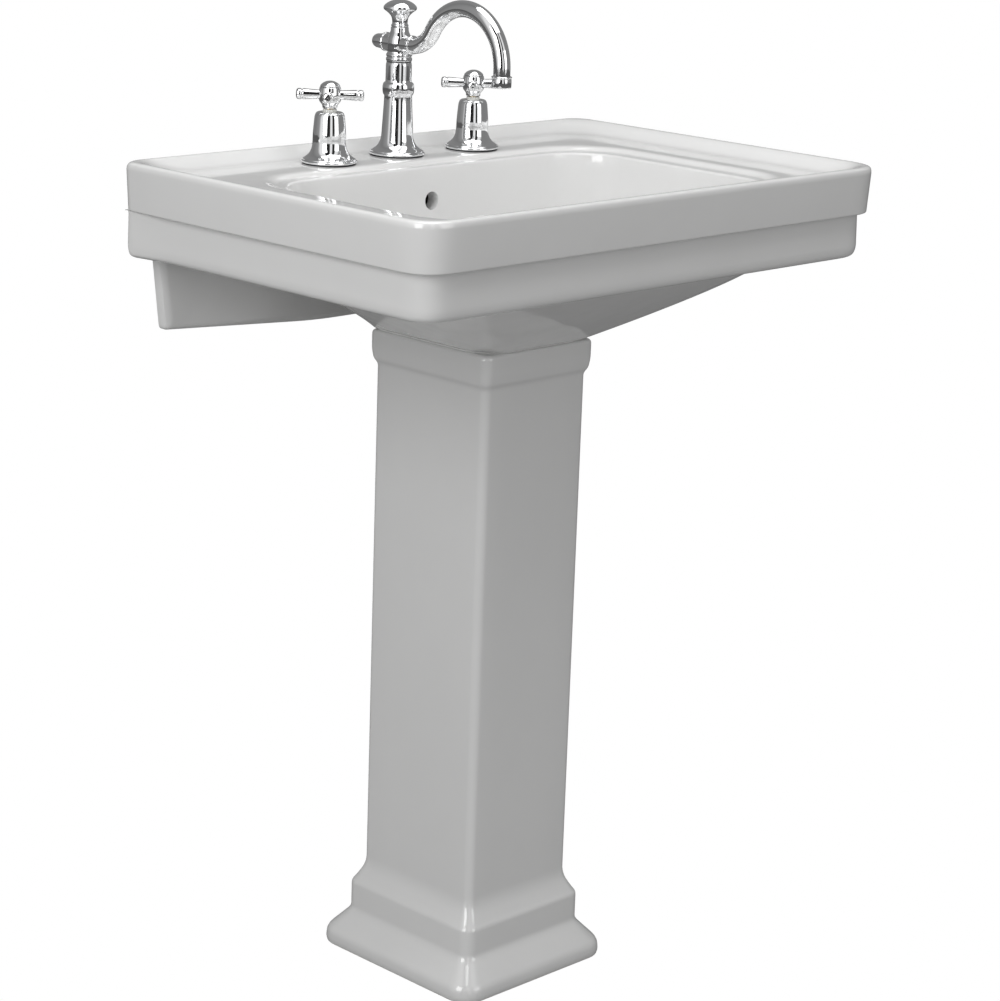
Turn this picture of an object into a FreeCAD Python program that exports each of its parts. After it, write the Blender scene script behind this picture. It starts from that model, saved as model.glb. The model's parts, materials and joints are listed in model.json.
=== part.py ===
"""Pedestal sink: a rectangular china basin on a square china column, with a three-hole tap and a pop-up waste.

Millimetres. The origin is on the floor under the middle of the basin: +X right, +Y to the wall, +Z up.
"""
import FreeCAD, Part
import math
import os
import re
import Sketcher
from FreeCAD import Placement, Rotation, Vector

# Driving sizes, by piece. Heights with no other word are above the floor; "up" is above the deck.
SIZES = [
    # basin, outside
    ("basin_width", 650),
    ("basin_depth", 440),
    ("rim_height", 865),
    ("rim_face", 49),
    ("rim_draft", 3),
    ("rim_corner", 36),
    ("wall_corner", 16),
    ("band_face", 47),
    ("band_inset", 10.5),
    ("band_round", 8),
    ("lip_width", 16),
    ("lip_rise", 13),
    ("china_wall", 13),
    ("deck_thickness", 14),
    # basin, dish and bowl
    ("dish_side_inset", 84),
    ("dish_back_inset", 91),
    ("dish_front_inset", 42),
    ("dish_drop", 5),
    ("dish_corner", 70),
    ("bowl_side_inset", 103),
    ("bowl_back_inset", 108),
    ("bowl_front_inset", 55),
    ("bowl_corner", 55),
    ("floor_half", 105),
    ("floor_front", 70),
    ("floor_back", 80),
    ("floor_height", 706),
    ("shell_side_inset", 97),
    ("shell_front_inset", 34),
    ("shell_back", 132),
    ("shell_corner", 88),
    ("keel_half", 110),
    ("keel_front", 76),
    ("keel_back", 124),
    ("keel_corner", 58),
    ("keel_height", 688),
    ("seat_corner", 36),
    # basin, plate at the wall
    ("apron_top_half", 286),
    ("apron_side_taper", 9),
    ("apron_side_height", 691),
    ("apron_middle_height", 677),
    ("apron_thickness", 14),
    ("bolt_spacing", 254),
    ("bolt_height", 800),
    ("bolt_hole_radius", 6.5),
    ("overflow_radius", 9.5),
    ("overflow_height", 815),
    ("channel_width", 34),
    ("channel_depth", 7),
    ("drain_back", 15),
    ("drain_hole_radius", 22.5),
    # pedestal
    ("pedestal_top", 684),
    ("column_width", 147),
    ("column_front", 46),
    ("column_back", 119),
    ("column_corner", 9),
    ("column_wall", 12),
    ("cap_height", 32),
    ("cap_cove", 11),
    ("cap_overhang", 5),
    ("ogee_top", 93),
    ("plinth_top", 73),
    ("plinth_bottom", 39),
    ("plinth_overhang", 12.5),
    ("foot_edge", 13),
    ("foot_overhang", 35),
    ("foot_corner", 26),
    ("back_opening", 104),
    # tap, deck plan
    ("handle_spacing", 203.2),
    ("handle_to_wall", 56),
    ("spout_to_wall", 48),
    ("tap_hole_radius", 16),
    ("gasket_thickness", 1.5),
    ("running_gap", 0.05),
    ("assembly_gap", 0.3),
    # tap, escutcheons and valves
    ("flange_radius", 29),
    ("flange_edge", 2.5),
    ("bell_low_radius", 17),
    ("bell_low_up", 20),
    ("bell_high_radius", 15),
    ("bell_high_up", 44),
    ("bell_top_up", 53),
    ("bell_skin", 2.4),
    ("shank_radius", 10.45),
    ("shank_length", 66),
    ("inlet_radius", 10.2),
    ("inlet_length", 22),
    ("barrel_radius", 12),
    ("barrel_up", 42),
    ("bonnet_radius", 7),
    ("bonnet_up", 55.5),
    ("cartridge_radius", 9.5),
    ("cartridge_depth", 32),
    ("stem_radius", 4),
    ("stem_up", 75),
    ("stem_reach", 42),
    ("port_down", 30),
    ("port_radius", 8),
    ("port_reach", 21),
    ("tube_radius", 4.8),
    ("tube_wall", 0.9),
    ("gland_radius", 10),
    ("gland_length", 12),
    ("nut_radius", 21),
    ("nut_thickness", 9),
    ("washer_radius", 23),
    ("washer_thickness", 3),
    # tap, cross handles
    ("neck_radius", 7.6),
    ("neck_up", 56.5),
    ("hub_radius", 11.2),
    ("hub_low_up", 62.5),
    ("hub_high_up", 78),
    ("cap_up", 84),
    ("arm_up", 70),
    ("arm_radius", 5.4),
    ("arm_root_radius", 4.6),
    ("arm_reach", 34.5),
    ("handle_screw_radius", 2),
    # tap, spout
    ("column_low_radius", 16.6),
    ("column_low_up", 20),
    ("column_high_radius", 14.6),
    ("column_high_up", 62),
    ("bead_radius", 16.4),
    ("bead_low_up", 64),
    ("bead_high_up", 75),
    ("sleeve_radius", 13.5),
    ("sleeve_top_up", 97),
    ("spigot_radius", 9),
    ("spigot_height", 11),
    ("swivel_ring", 1.2),
    ("collar_radius", 13.6),
    ("collar_height", 7),
    ("cross_up", 116),
    ("cross_radius", 9.7),
    ("cross_half", 21.5),
    ("crown_radius", 9.3),
    ("crown_up", 133),
    ("button_radius", 7.6),
    ("button_reach", 38),
    ("spout_reach", 152),
    ("spout_radius", 8.6),
    ("spout_bore", 6.8),
    ("arch_radius", 55),
    ("sweep_radius", 33),
    ("turn_angle", 60),
    ("outlet_up", 98),
    ("aerator_radius", 10),
    ("aerator_height", 12),
    ("tee_height", 22),
    ("tee_half", 17),
    ("tee_nipple", 8),
    # pop-up waste
    ("lift_rod_radius", 2.5),
    ("lift_rod_end", 716),
    ("knob_neck_radius", 8.8),
    ("knob_radius", 17.4),
    ("knob_up", 161),
    ("lift_travel", 30),
    ("strap_width", 12),
    ("strap_thickness", 1.6),
    ("strap_hole_radius", 3.6),
    ("strap_end", 612),
    ("pivot_height", 640),
    ("pivot_offset", 26),
    ("pivot_rod_radius", 2.4),
    ("pivot_ball_radius", 6.8),
    ("pivot_tail", 12),
    ("waste_flange_radius", 31),
    ("waste_tube_radius", 17.5),
    ("waste_tube_bore", 15.6),
    ("waste_tube_length", 46),
    ("waste_body_radius", 20),
    ("waste_body_length", 92),
    ("waste_nut_radius", 31),
    ("tailpiece_radius", 15.9),
    ("tailpiece_thread", 16.4),
    ("tailpiece_wall", 1.2),
    ("tailpiece_length", 150),
    ("tailpiece_grip", 22),
    ("stopper_radius", 19),
    ("stopper_stem_radius", 5.2),
    ("stopper_lift", 6),
]

doc = FreeCAD.newDocument("PedestalSink")
sheet = doc.addObject("Spreadsheet::Sheet", "Sizes")
for row, (alias, amount) in enumerate(SIZES, start=1):
    sheet.set(f"A{row}", alias)
    sheet.set(f"B{row}", str(amount))
    sheet.setAlias(f"B{row}", alias)
doc.recompute()
ALIASES = {alias for alias, amount in SIZES}
nodes = []


# ---------------------------------------------------------------- shared helpers
def qualified(text):
    """The expression with each size name written as a cell of the sheet."""
    return re.sub(r"[a-z][a-z_]+", lambda word: "Sizes." + word[0] if word[0] in ALIASES else word[0], str(text))


def number(text):
    """The present value of an expression, in millimetres or degrees."""
    found = sheet.evalExpression(qualified(text))
    return float(getattr(found, "Value", found))


def bind(thing, **expressions):
    """Ties properties of an object to expressions of the sheet."""
    for prop, text in expressions.items():
        thing.setExpression(prop, qualified(text))
    return thing


def place(thing, x=0, y=0, z=0, rotation=None):
    """Puts an object at a place worked out by the sheet, turned by a fixed rotation."""
    if rotation is not None:
        thing.Placement = Placement(Vector(), rotation)
    for axis, text in zip("xyz", (x, y, z)):
        thing.setExpression(".Placement.Base." + axis, qualified(text))
    return thing


def node(thing, label):
    """Names the finished sub-part and puts it on the list of files to write."""
    thing.Label = label
    nodes.append(thing)
    return thing


def plane(body, role):
    return next(item for item in body.Origin.OriginFeatures if item.Role == role)


def arc_through(start, end, radius):
    """The shorter arc from start to end, stored anticlockwise; a positive radius bulges to its right."""
    chord = end - start
    side = Vector(-chord.y, chord.x, 0).normalize() * math.copysign(1, radius)
    centre = (start + end) * 0.5 + side * math.sqrt(radius ** 2 - (chord.Length / 2) ** 2)
    first, last = (start, end) if radius > 0 else (end, start)
    begins = math.atan2(first.y - centre.y, first.x - centre.x)
    ends = math.atan2(last.y - centre.y, last.x - centre.x)
    return Part.ArcOfCircle(Part.Circle(centre, Vector(0, 0, 1), abs(radius)), begins, ends)


def outline(sketch, corners, closed=True):
    """Joins (across, along) corners; a third value is the radius of the arc that arrives at its corner."""
    spots = [Vector(number(corner[0]), number(corner[1]), 0) for corner in corners]
    arriving = corners if closed else corners[1:]
    first = 0 if closed else 1
    tips = []
    for index, corner in enumerate(arriving, start=first):
        start, end = spots[index - 1], spots[index]
        if len(corner) == 3:
            sketch.addGeometry(arc_through(start, end, number(corner[2])), False)
            tips.append((1, 2) if number(corner[2]) > 0 else (2, 1))
        else:
            sketch.addGeometry(Part.LineSegment(start, end), False)
            tips.append((1, 2))
    for index, corner in enumerate(arriving):
        following = (index + 1) % len(arriving)
        if closed or following:
            joined = Sketcher.Constraint("Coincident", index, tips[index][1], following, tips[following][0])
            sketch.addConstraint(joined)
        pin(sketch, index, tips[index][1], corner)
        if len(corner) == 3:
            made = sketch.addConstraint(Sketcher.Constraint("Radius", index, abs(number(corner[2]))))
            sketch.setExpression(f"Constraints[{made}]", qualified(f"abs({corner[2]})"))
    if not closed:
        pin(sketch, 0, tips[0][0], corners[0])


def pin(sketch, line, tip, corner):
    """Holds one end of a line or arc at its corner of the outline."""
    for kind, text in (("DistanceX", corner[0]), ("DistanceY", corner[1])):
        made = sketch.addConstraint(Sketcher.Constraint(kind, -1, 1, line, tip, number(text)))
        sketch.setExpression(f"Constraints[{made}]", qualified(text))


def attached_sketch(body, name, role, corners, lift=None, closed=True):
    """A sketch on one of the body's origin planes, lifted along the plane's second axis if asked."""
    sketch = body.newObject("Sketcher::SketchObject", name)
    sketch.AttachmentSupport = (plane(body, role), [""])
    sketch.MapMode = "FlatFace"
    if lift is not None:
        sketch.setExpression("AttachmentOffset.Base.y", qualified(lift))
    outline(sketch, corners, closed)
    return sketch


def lathe(name, corners, x=0, y=0, z=0, rotation=None):
    """A turned piece: (radius, height) corners spun about the body's own Z axis."""
    body = doc.addObject("PartDesign::Body", name)
    sketch = attached_sketch(body, name + "_profile", "XZ_Plane", corners)
    turn = body.newObject("PartDesign::Revolution", name + "_turn")
    turn.Profile = sketch
    turn.ReferenceAxis = (sketch, ["V_Axis"])
    turn.Angle = 360
    return place(body, x, y, z, rotation)


def ring(name, outer, inner, low, high, x=0, y=0, z=0, rotation=None):
    """A plain ring or tube between two heights."""
    return lathe(name, [(inner, low), (outer, low), (outer, high), (inner, high)], x, y, z, rotation)


def rounded_sketch(name, half, front, back, corner, level, back_corner="wall_corner"):
    """A level rounded rectangle, half wide each side of X = 0, from -front to back, for a loft."""
    sketch = doc.addObject("Sketcher::SketchObject", name)
    place(sketch, z=level)
    wide, near, far = number(half), number(front), number(back)
    small, large = number(back_corner), number(corner)
    radii = [large, small, small, large]
    centres = [(wide - large, large - near), (wide - small, far - small),
               (small - wide, far - small), (large - wide, large - near)]
    turns = [(-90, 0), (0, 90), (90, 180), (180, 270)]
    spots = []
    for (cx, cy), radius, (first, last) in zip(centres, radii, turns):
        for angle in (first, last):
            spots.append(Vector(cx + radius * math.cos(math.radians(angle)),
                                cy + radius * math.sin(math.radians(angle)), 0))
    for index in range(4):
        first, last = turns[index]
        circle = Part.Circle(Vector(*centres[index], 0), Vector(0, 0, 1), radii[index])
        sketch.addGeometry(Part.ArcOfCircle(circle, math.radians(first), math.radians(last)), False)
        sketch.addGeometry(Part.LineSegment(spots[2 * index + 1], spots[(2 * index + 2) % 8]), False)
    for index in range(8):
        sketch.addConstraint(Sketcher.Constraint("Tangent", index, 2, (index + 1) % 8, 1))
    for line, direction in ((1, "Vertical"), (3, "Horizontal"), (5, "Vertical"), (7, "Horizontal")):
        sketch.addConstraint(Sketcher.Constraint(direction, line))
    sized = [(("Radius", 0), corner), (("Radius", 2), back_corner), (("Radius", 4), back_corner),
             (("Radius", 6), corner), (("DistanceX", -1, 1, 1, 1), half), (("DistanceX", 5, 1, -1, 1), half),
             (("DistanceY", 7, 1, -1, 1), front), (("DistanceY", -1, 1, 3, 1), back)]
    for parts, text in sized:
        made = sketch.addConstraint(Sketcher.Constraint(*parts, number(text)))
        sketch.setExpression(f"Constraints[{made}]", qualified(text))
    return sketch


def loft(name, sections):
    """A solid through level rounded rectangles, each (level, half, front, back, corner, back corner)."""
    made = doc.addObject("Part::Loft", name)
    made.Sections = [rounded_sketch(f"{name}_{index}", half, front, back, corner, level, back_corner)
                     for index, (level, half, front, back, corner, back_corner) in enumerate(sections)]
    made.Solid = True
    made.Ruled = True
    return made


def block(name, x, y, z, wide, deep, high):
    """A box from its low corner."""
    made = doc.addObject("Part::Box", name)
    bind(made, Length=wide, Width=deep, Height=high)
    return place(made, x, y, z)


ALONG_Y = Rotation(Vector(1, 0, 0), -90)
ALONG_X = Rotation(Vector(0, 1, 0), 90)


def rod(name, radius, length, x=0, y=0, z=0, rotation=None):
    made = doc.addObject("Part::Cylinder", name)
    bind(made, Radius=radius, Height=length)
    return place(made, x, y, z, rotation)


def hexagon(name, radius, length, x=0, y=0, z=0, rotation=None):
    made = doc.addObject("Part::Prism", name)
    made.Polygon = 6
    bind(made, Circumradius=radius, Height=length)
    return place(made, x, y, z, rotation)


def fused(name, *things):
    made = doc.addObject("Part::MultiFuse", name)
    made.Shapes = list(things)
    return made


def cut(name, base, *tools):
    """The base with every tool taken away."""
    made = doc.addObject("Part::Cut", name)
    made.Base = base
    made.Tool = tools[0] if len(tools) == 1 else fused(name + "_tools", *tools)
    return made


def nut(name, across, bore, thickness, x=0, y=0, z=0, rotation=None):
    """A hexagon nut with a plain bore."""
    blank = hexagon(name + "_blank", across, thickness, x, y, z, rotation)
    hole = rod(name + "_bore", bore, thickness, x, y, z, rotation)
    return cut(name, blank, hole)


# ---------------------------------------------------------------- derived places, as expressions
HALF = "basin_width / 2"
DEEP = "basin_depth / 2"
DECK = "(rim_height - lip_rise)"
UNDER_DECK = "(rim_height - lip_rise - deck_thickness)"
BAND_TOP = "(rim_height - rim_face)"
BAND_BOTTOM = "(rim_height - rim_face - band_face)"
DISH = "(rim_height - lip_rise - dish_drop)"
HANDLE_Y = "(basin_depth / 2 - handle_to_wall)"
SPOUT_Y = "(basin_depth / 2 - spout_to_wall)"
DRAIN_Y = "drain_back"

# ---------------------------------------------------------------- basin
# One slip-cast piece of vitreous china: a rim and a lower band, a dished deck inside a raised lip, the bowl,
# and a plate at the wall.
rim = loft("basin_rim", [
    (BAND_TOP, f"{HALF} - rim_draft", f"{DEEP} - rim_draft", DEEP, "rim_corner - rim_draft", "wall_corner"),
    ("rim_height", HALF, DEEP, DEEP, "rim_corner", "wall_corner")])
band = loft("basin_band", [
    (f"{BAND_BOTTOM}", f"{HALF} - band_inset - band_round * 0.7", f"{DEEP} - band_inset - band_round * 0.7",
     DEEP, "rim_corner - band_inset - band_round * 0.7", "wall_corner"),
    (f"{BAND_BOTTOM} + band_round * 0.3", f"{HALF} - band_inset - band_round * 0.2",
     f"{DEEP} - band_inset - band_round * 0.2", DEEP, "rim_corner - band_inset - band_round * 0.2",
     "wall_corner"),
    (f"{BAND_BOTTOM} + band_round", f"{HALF} - band_inset", f"{DEEP} - band_inset", DEEP,
     "rim_corner - band_inset", "wall_corner"),
    (f"{BAND_TOP} + 2", f"{HALF} - band_inset - 1", f"{DEEP} - band_inset - 1", DEEP,
     "rim_corner - band_inset - 1", "wall_corner")])
hollow = loft("basin_hollow", [
    (f"{BAND_BOTTOM} - 1", f"{HALF} - band_inset - band_round * 0.7 - china_wall",
     f"{DEEP} - band_inset - band_round * 0.7 - china_wall", f"{DEEP} - apron_thickness",
     "rim_corner - band_inset - china_wall", "wall_corner"),
    (UNDER_DECK, f"{HALF} - band_inset - china_wall", f"{DEEP} - band_inset - china_wall",
     f"{DEEP} - apron_thickness", "rim_corner - band_inset - china_wall", "wall_corner")])

# The outside of the bowl keeps its width down to the band, then closes in as a parabola to the keel.
shell_sections = [("keel_height", "keel_half", "keel_front", "keel_back", "keel_corner", "keel_corner / 2")]
for share in (0.93, 0.85, 0.72, 0.54, 0.3, 0):
    fade = round(share ** 2, 4)
    shell_sections.append((
        f"{BAND_BOTTOM} - ({BAND_BOTTOM} - keel_height) * {share}",
        f"{HALF} - shell_side_inset - ({HALF} - shell_side_inset - keel_half) * {fade}",
        f"{DEEP} - shell_front_inset - ({DEEP} - shell_front_inset - keel_front) * {fade}",
        f"shell_back - (shell_back - keel_back) * {fade}",
        f"shell_corner - (shell_corner - keel_corner) * {fade}",
        f"shell_corner / 2 - (shell_corner - keel_corner) / 2 * {fade}"))
shell_sections.append((f"{UNDER_DECK} + 5", f"{HALF} - shell_side_inset + 8", f"{DEEP} - shell_front_inset",
                       "shell_back", "shell_corner", "shell_corner / 2"))
shell = loft("basin_shell", shell_sections)

# The inside of the bowl has steep walls that turn into the floor.
bowl_sections = []
for step in range(7):
    share = math.sin(math.radians(15 * step))
    fade = round(share ** 6, 4)
    bowl_sections.append((
        f"{DISH} + 1 - ({DISH} + 1 - floor_height) * {round(share, 4)}",
        f"{HALF} - bowl_side_inset - ({HALF} - bowl_side_inset - floor_half) * {fade}",
        f"{DEEP} - bowl_front_inset - ({DEEP} - bowl_front_inset - floor_front) * {fade}",
        f"{DEEP} - bowl_back_inset - ({DEEP} - bowl_back_inset - floor_back) * {fade}",
        "bowl_corner", "bowl_corner"))
bowl = loft("basin_bowl", bowl_sections)
dish = loft("basin_dish", [
    (DISH, f"{HALF} - dish_side_inset - 4", f"{DEEP} - dish_front_inset - 4", f"{DEEP} - dish_back_inset - 4",
     "dish_corner - 4", "dish_corner - 4"),
    (f"{DECK} + 1", f"{HALF} - dish_side_inset", f"{DEEP} - dish_front_inset", f"{DEEP} - dish_back_inset",
     "dish_corner", "dish_corner")])
deck_cut = loft("basin_deck_cut", [
    (DECK, f"{HALF} - lip_width", f"{DEEP} - lip_width", f"{DEEP} - lip_width", "rim_corner - lip_width / 2",
     "wall_corner"),
    ("rim_height + 1", f"{HALF} - lip_width + 4", f"{DEEP} - lip_width + 4", f"{DEEP} - lip_width + 4",
     "rim_corner - lip_width / 2", "wall_corner")])
seat = loft("basin_seat", [
    ("pedestal_top", "column_width / 2 + cap_overhang - 1.5", "column_front + cap_overhang - 1.5",
     "column_back + cap_overhang - 1.5", "seat_corner", "seat_corner / 2"),
    ("keel_height + 4", "column_width / 2 + cap_overhang - 1.5", "column_front + cap_overhang - 1.5",
     "column_back + cap_overhang - 1.5", "seat_corner", "seat_corner / 2")])

apron_body = doc.addObject("PartDesign::Body", "basin_apron")
apron_sketch = attached_sketch(apron_body, "basin_apron_outline", "XZ_Plane", [
    ("-apron_top_half", f"{UNDER_DECK} + 2"),
    ("-apron_top_half", BAND_BOTTOM),
    ("apron_side_taper - apron_top_half", "apron_side_height"),
    ("-column_width / 2", "apron_middle_height"),
    ("column_width / 2", "apron_middle_height"),
    ("apron_top_half - apron_side_taper", "apron_side_height"),
    ("apron_top_half", BAND_BOTTOM),
    ("apron_top_half", f"{UNDER_DECK} + 2")])
apron = apron_body.newObject("PartDesign::Pad", "basin_apron_pad")
apron.Profile = apron_sketch
bind(apron, Length="apron_thickness")
place(apron_body, y=DEEP)

overflow = rod("basin_overflow", "overflow_radius", "channel_depth + 16",
               y=f"{DEEP} - bowl_back_inset - 12", z="overflow_height", rotation=ALONG_Y)
channel_front = f"({DEEP} - bowl_back_inset + 4)"
channel = block("basin_channel", "-channel_width / 2", channel_front, "keel_height + 6",
                "channel_width", "channel_depth", "overflow_height + overflow_radius - keel_height - 6")
gallery = block("basin_gallery", "-channel_width / 2", DRAIN_Y, "keel_height + 6",
                "channel_width", f"{channel_front} + channel_depth - {DRAIN_Y}", "channel_depth")
drain_hole = rod("basin_drain_hole", "drain_hole_radius", "60", y=DRAIN_Y, z="pedestal_top - 10")
tap_holes = [
    rod(f"basin_tap_hole_{index}", "tap_hole_radius", "deck_thickness + 12", x=across, y=back,
        z=f"{UNDER_DECK} - 6")
    for index, (across, back) in enumerate((("-handle_spacing / 2", HANDLE_Y), ("handle_spacing / 2", HANDLE_Y),
                                            ("0", SPOUT_Y)))]
bolt_holes = [
    rod(f"basin_bolt_hole_{index}", "bolt_hole_radius", "apron_thickness + 4", x=f"{sign} * bolt_spacing / 2",
        y=f"{DEEP} - apron_thickness - 2", z="bolt_height", rotation=ALONG_Y)
    for index, sign in enumerate((-1, 1))]
box = cut("basin_box", fused("basin_outside", rim, band), hollow)
casting = fused("basin_casting", box, shell, apron_body, seat)
node(cut("basin_finished", casting, deck_cut, dish, bowl, overflow, channel, gallery, drain_hole,
         *tap_holes, *bolt_holes), "basin")


# ---------------------------------------------------------------- pedestal
# A square column cast in china, hollow and open at the back, with a capital and a moulded foot.
def pedestal_section(level, overhang, corner):
    return (level, f"column_width / 2 + {overhang}", f"column_front + {overhang}",
            f"column_back + {overhang}", corner, corner)


CAP_LOW = "(pedestal_top - cap_height)"
outside = loft("pedestal_outside", [
    pedestal_section("0", "foot_overhang - 1", "foot_corner"),
    pedestal_section("3", "foot_overhang", "foot_corner"),
    pedestal_section("foot_edge", "foot_overhang - 2", "foot_corner"),
    pedestal_section("foot_edge + 5", "foot_overhang - 6", "foot_corner"),
    pedestal_section("plinth_bottom - 4", "plinth_overhang + 3", "column_corner + 8"),
    pedestal_section("plinth_bottom", "plinth_overhang", "column_corner + 5"),
    pedestal_section("plinth_top - 6", "plinth_overhang", "column_corner + 5"),
    pedestal_section("plinth_top", "plinth_overhang - 2", "column_corner + 4"),
    pedestal_section("ogee_top - 4", "1.5", "column_corner + 1"),
    pedestal_section("ogee_top", "0", "column_corner"),
    pedestal_section(CAP_LOW, "0", "column_corner"),
    pedestal_section(f"{CAP_LOW} + 2", "cap_overhang * 0.55", "column_corner"),
    pedestal_section(f"{CAP_LOW} + cap_cove", "cap_overhang", "column_corner + 1"),
    pedestal_section("pedestal_top", "cap_overhang", "column_corner + 1")])
inside = loft("pedestal_inside", [
    pedestal_section("-1", "foot_overhang - column_wall", "foot_corner - 8"),
    pedestal_section("foot_edge", "foot_overhang - column_wall - 6", "foot_corner - 8"),
    pedestal_section("plinth_bottom + 4", "plinth_overhang - column_wall", "column_corner"),
    pedestal_section("plinth_top - 6", "plinth_overhang - column_wall", "column_corner"),
    pedestal_section("ogee_top", "-column_wall", "column_corner / 2"),
    pedestal_section("pedestal_top + 1", "-column_wall", "column_corner / 2")])
opening = block("pedestal_opening", "-back_opening / 2", "column_back - column_wall - 4", "-2", "back_opening",
                "foot_overhang + column_wall + 20", "pedestal_top + 4")
node(cut("pedestal_finished", outside, inside, opening), "pedestal")


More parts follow.
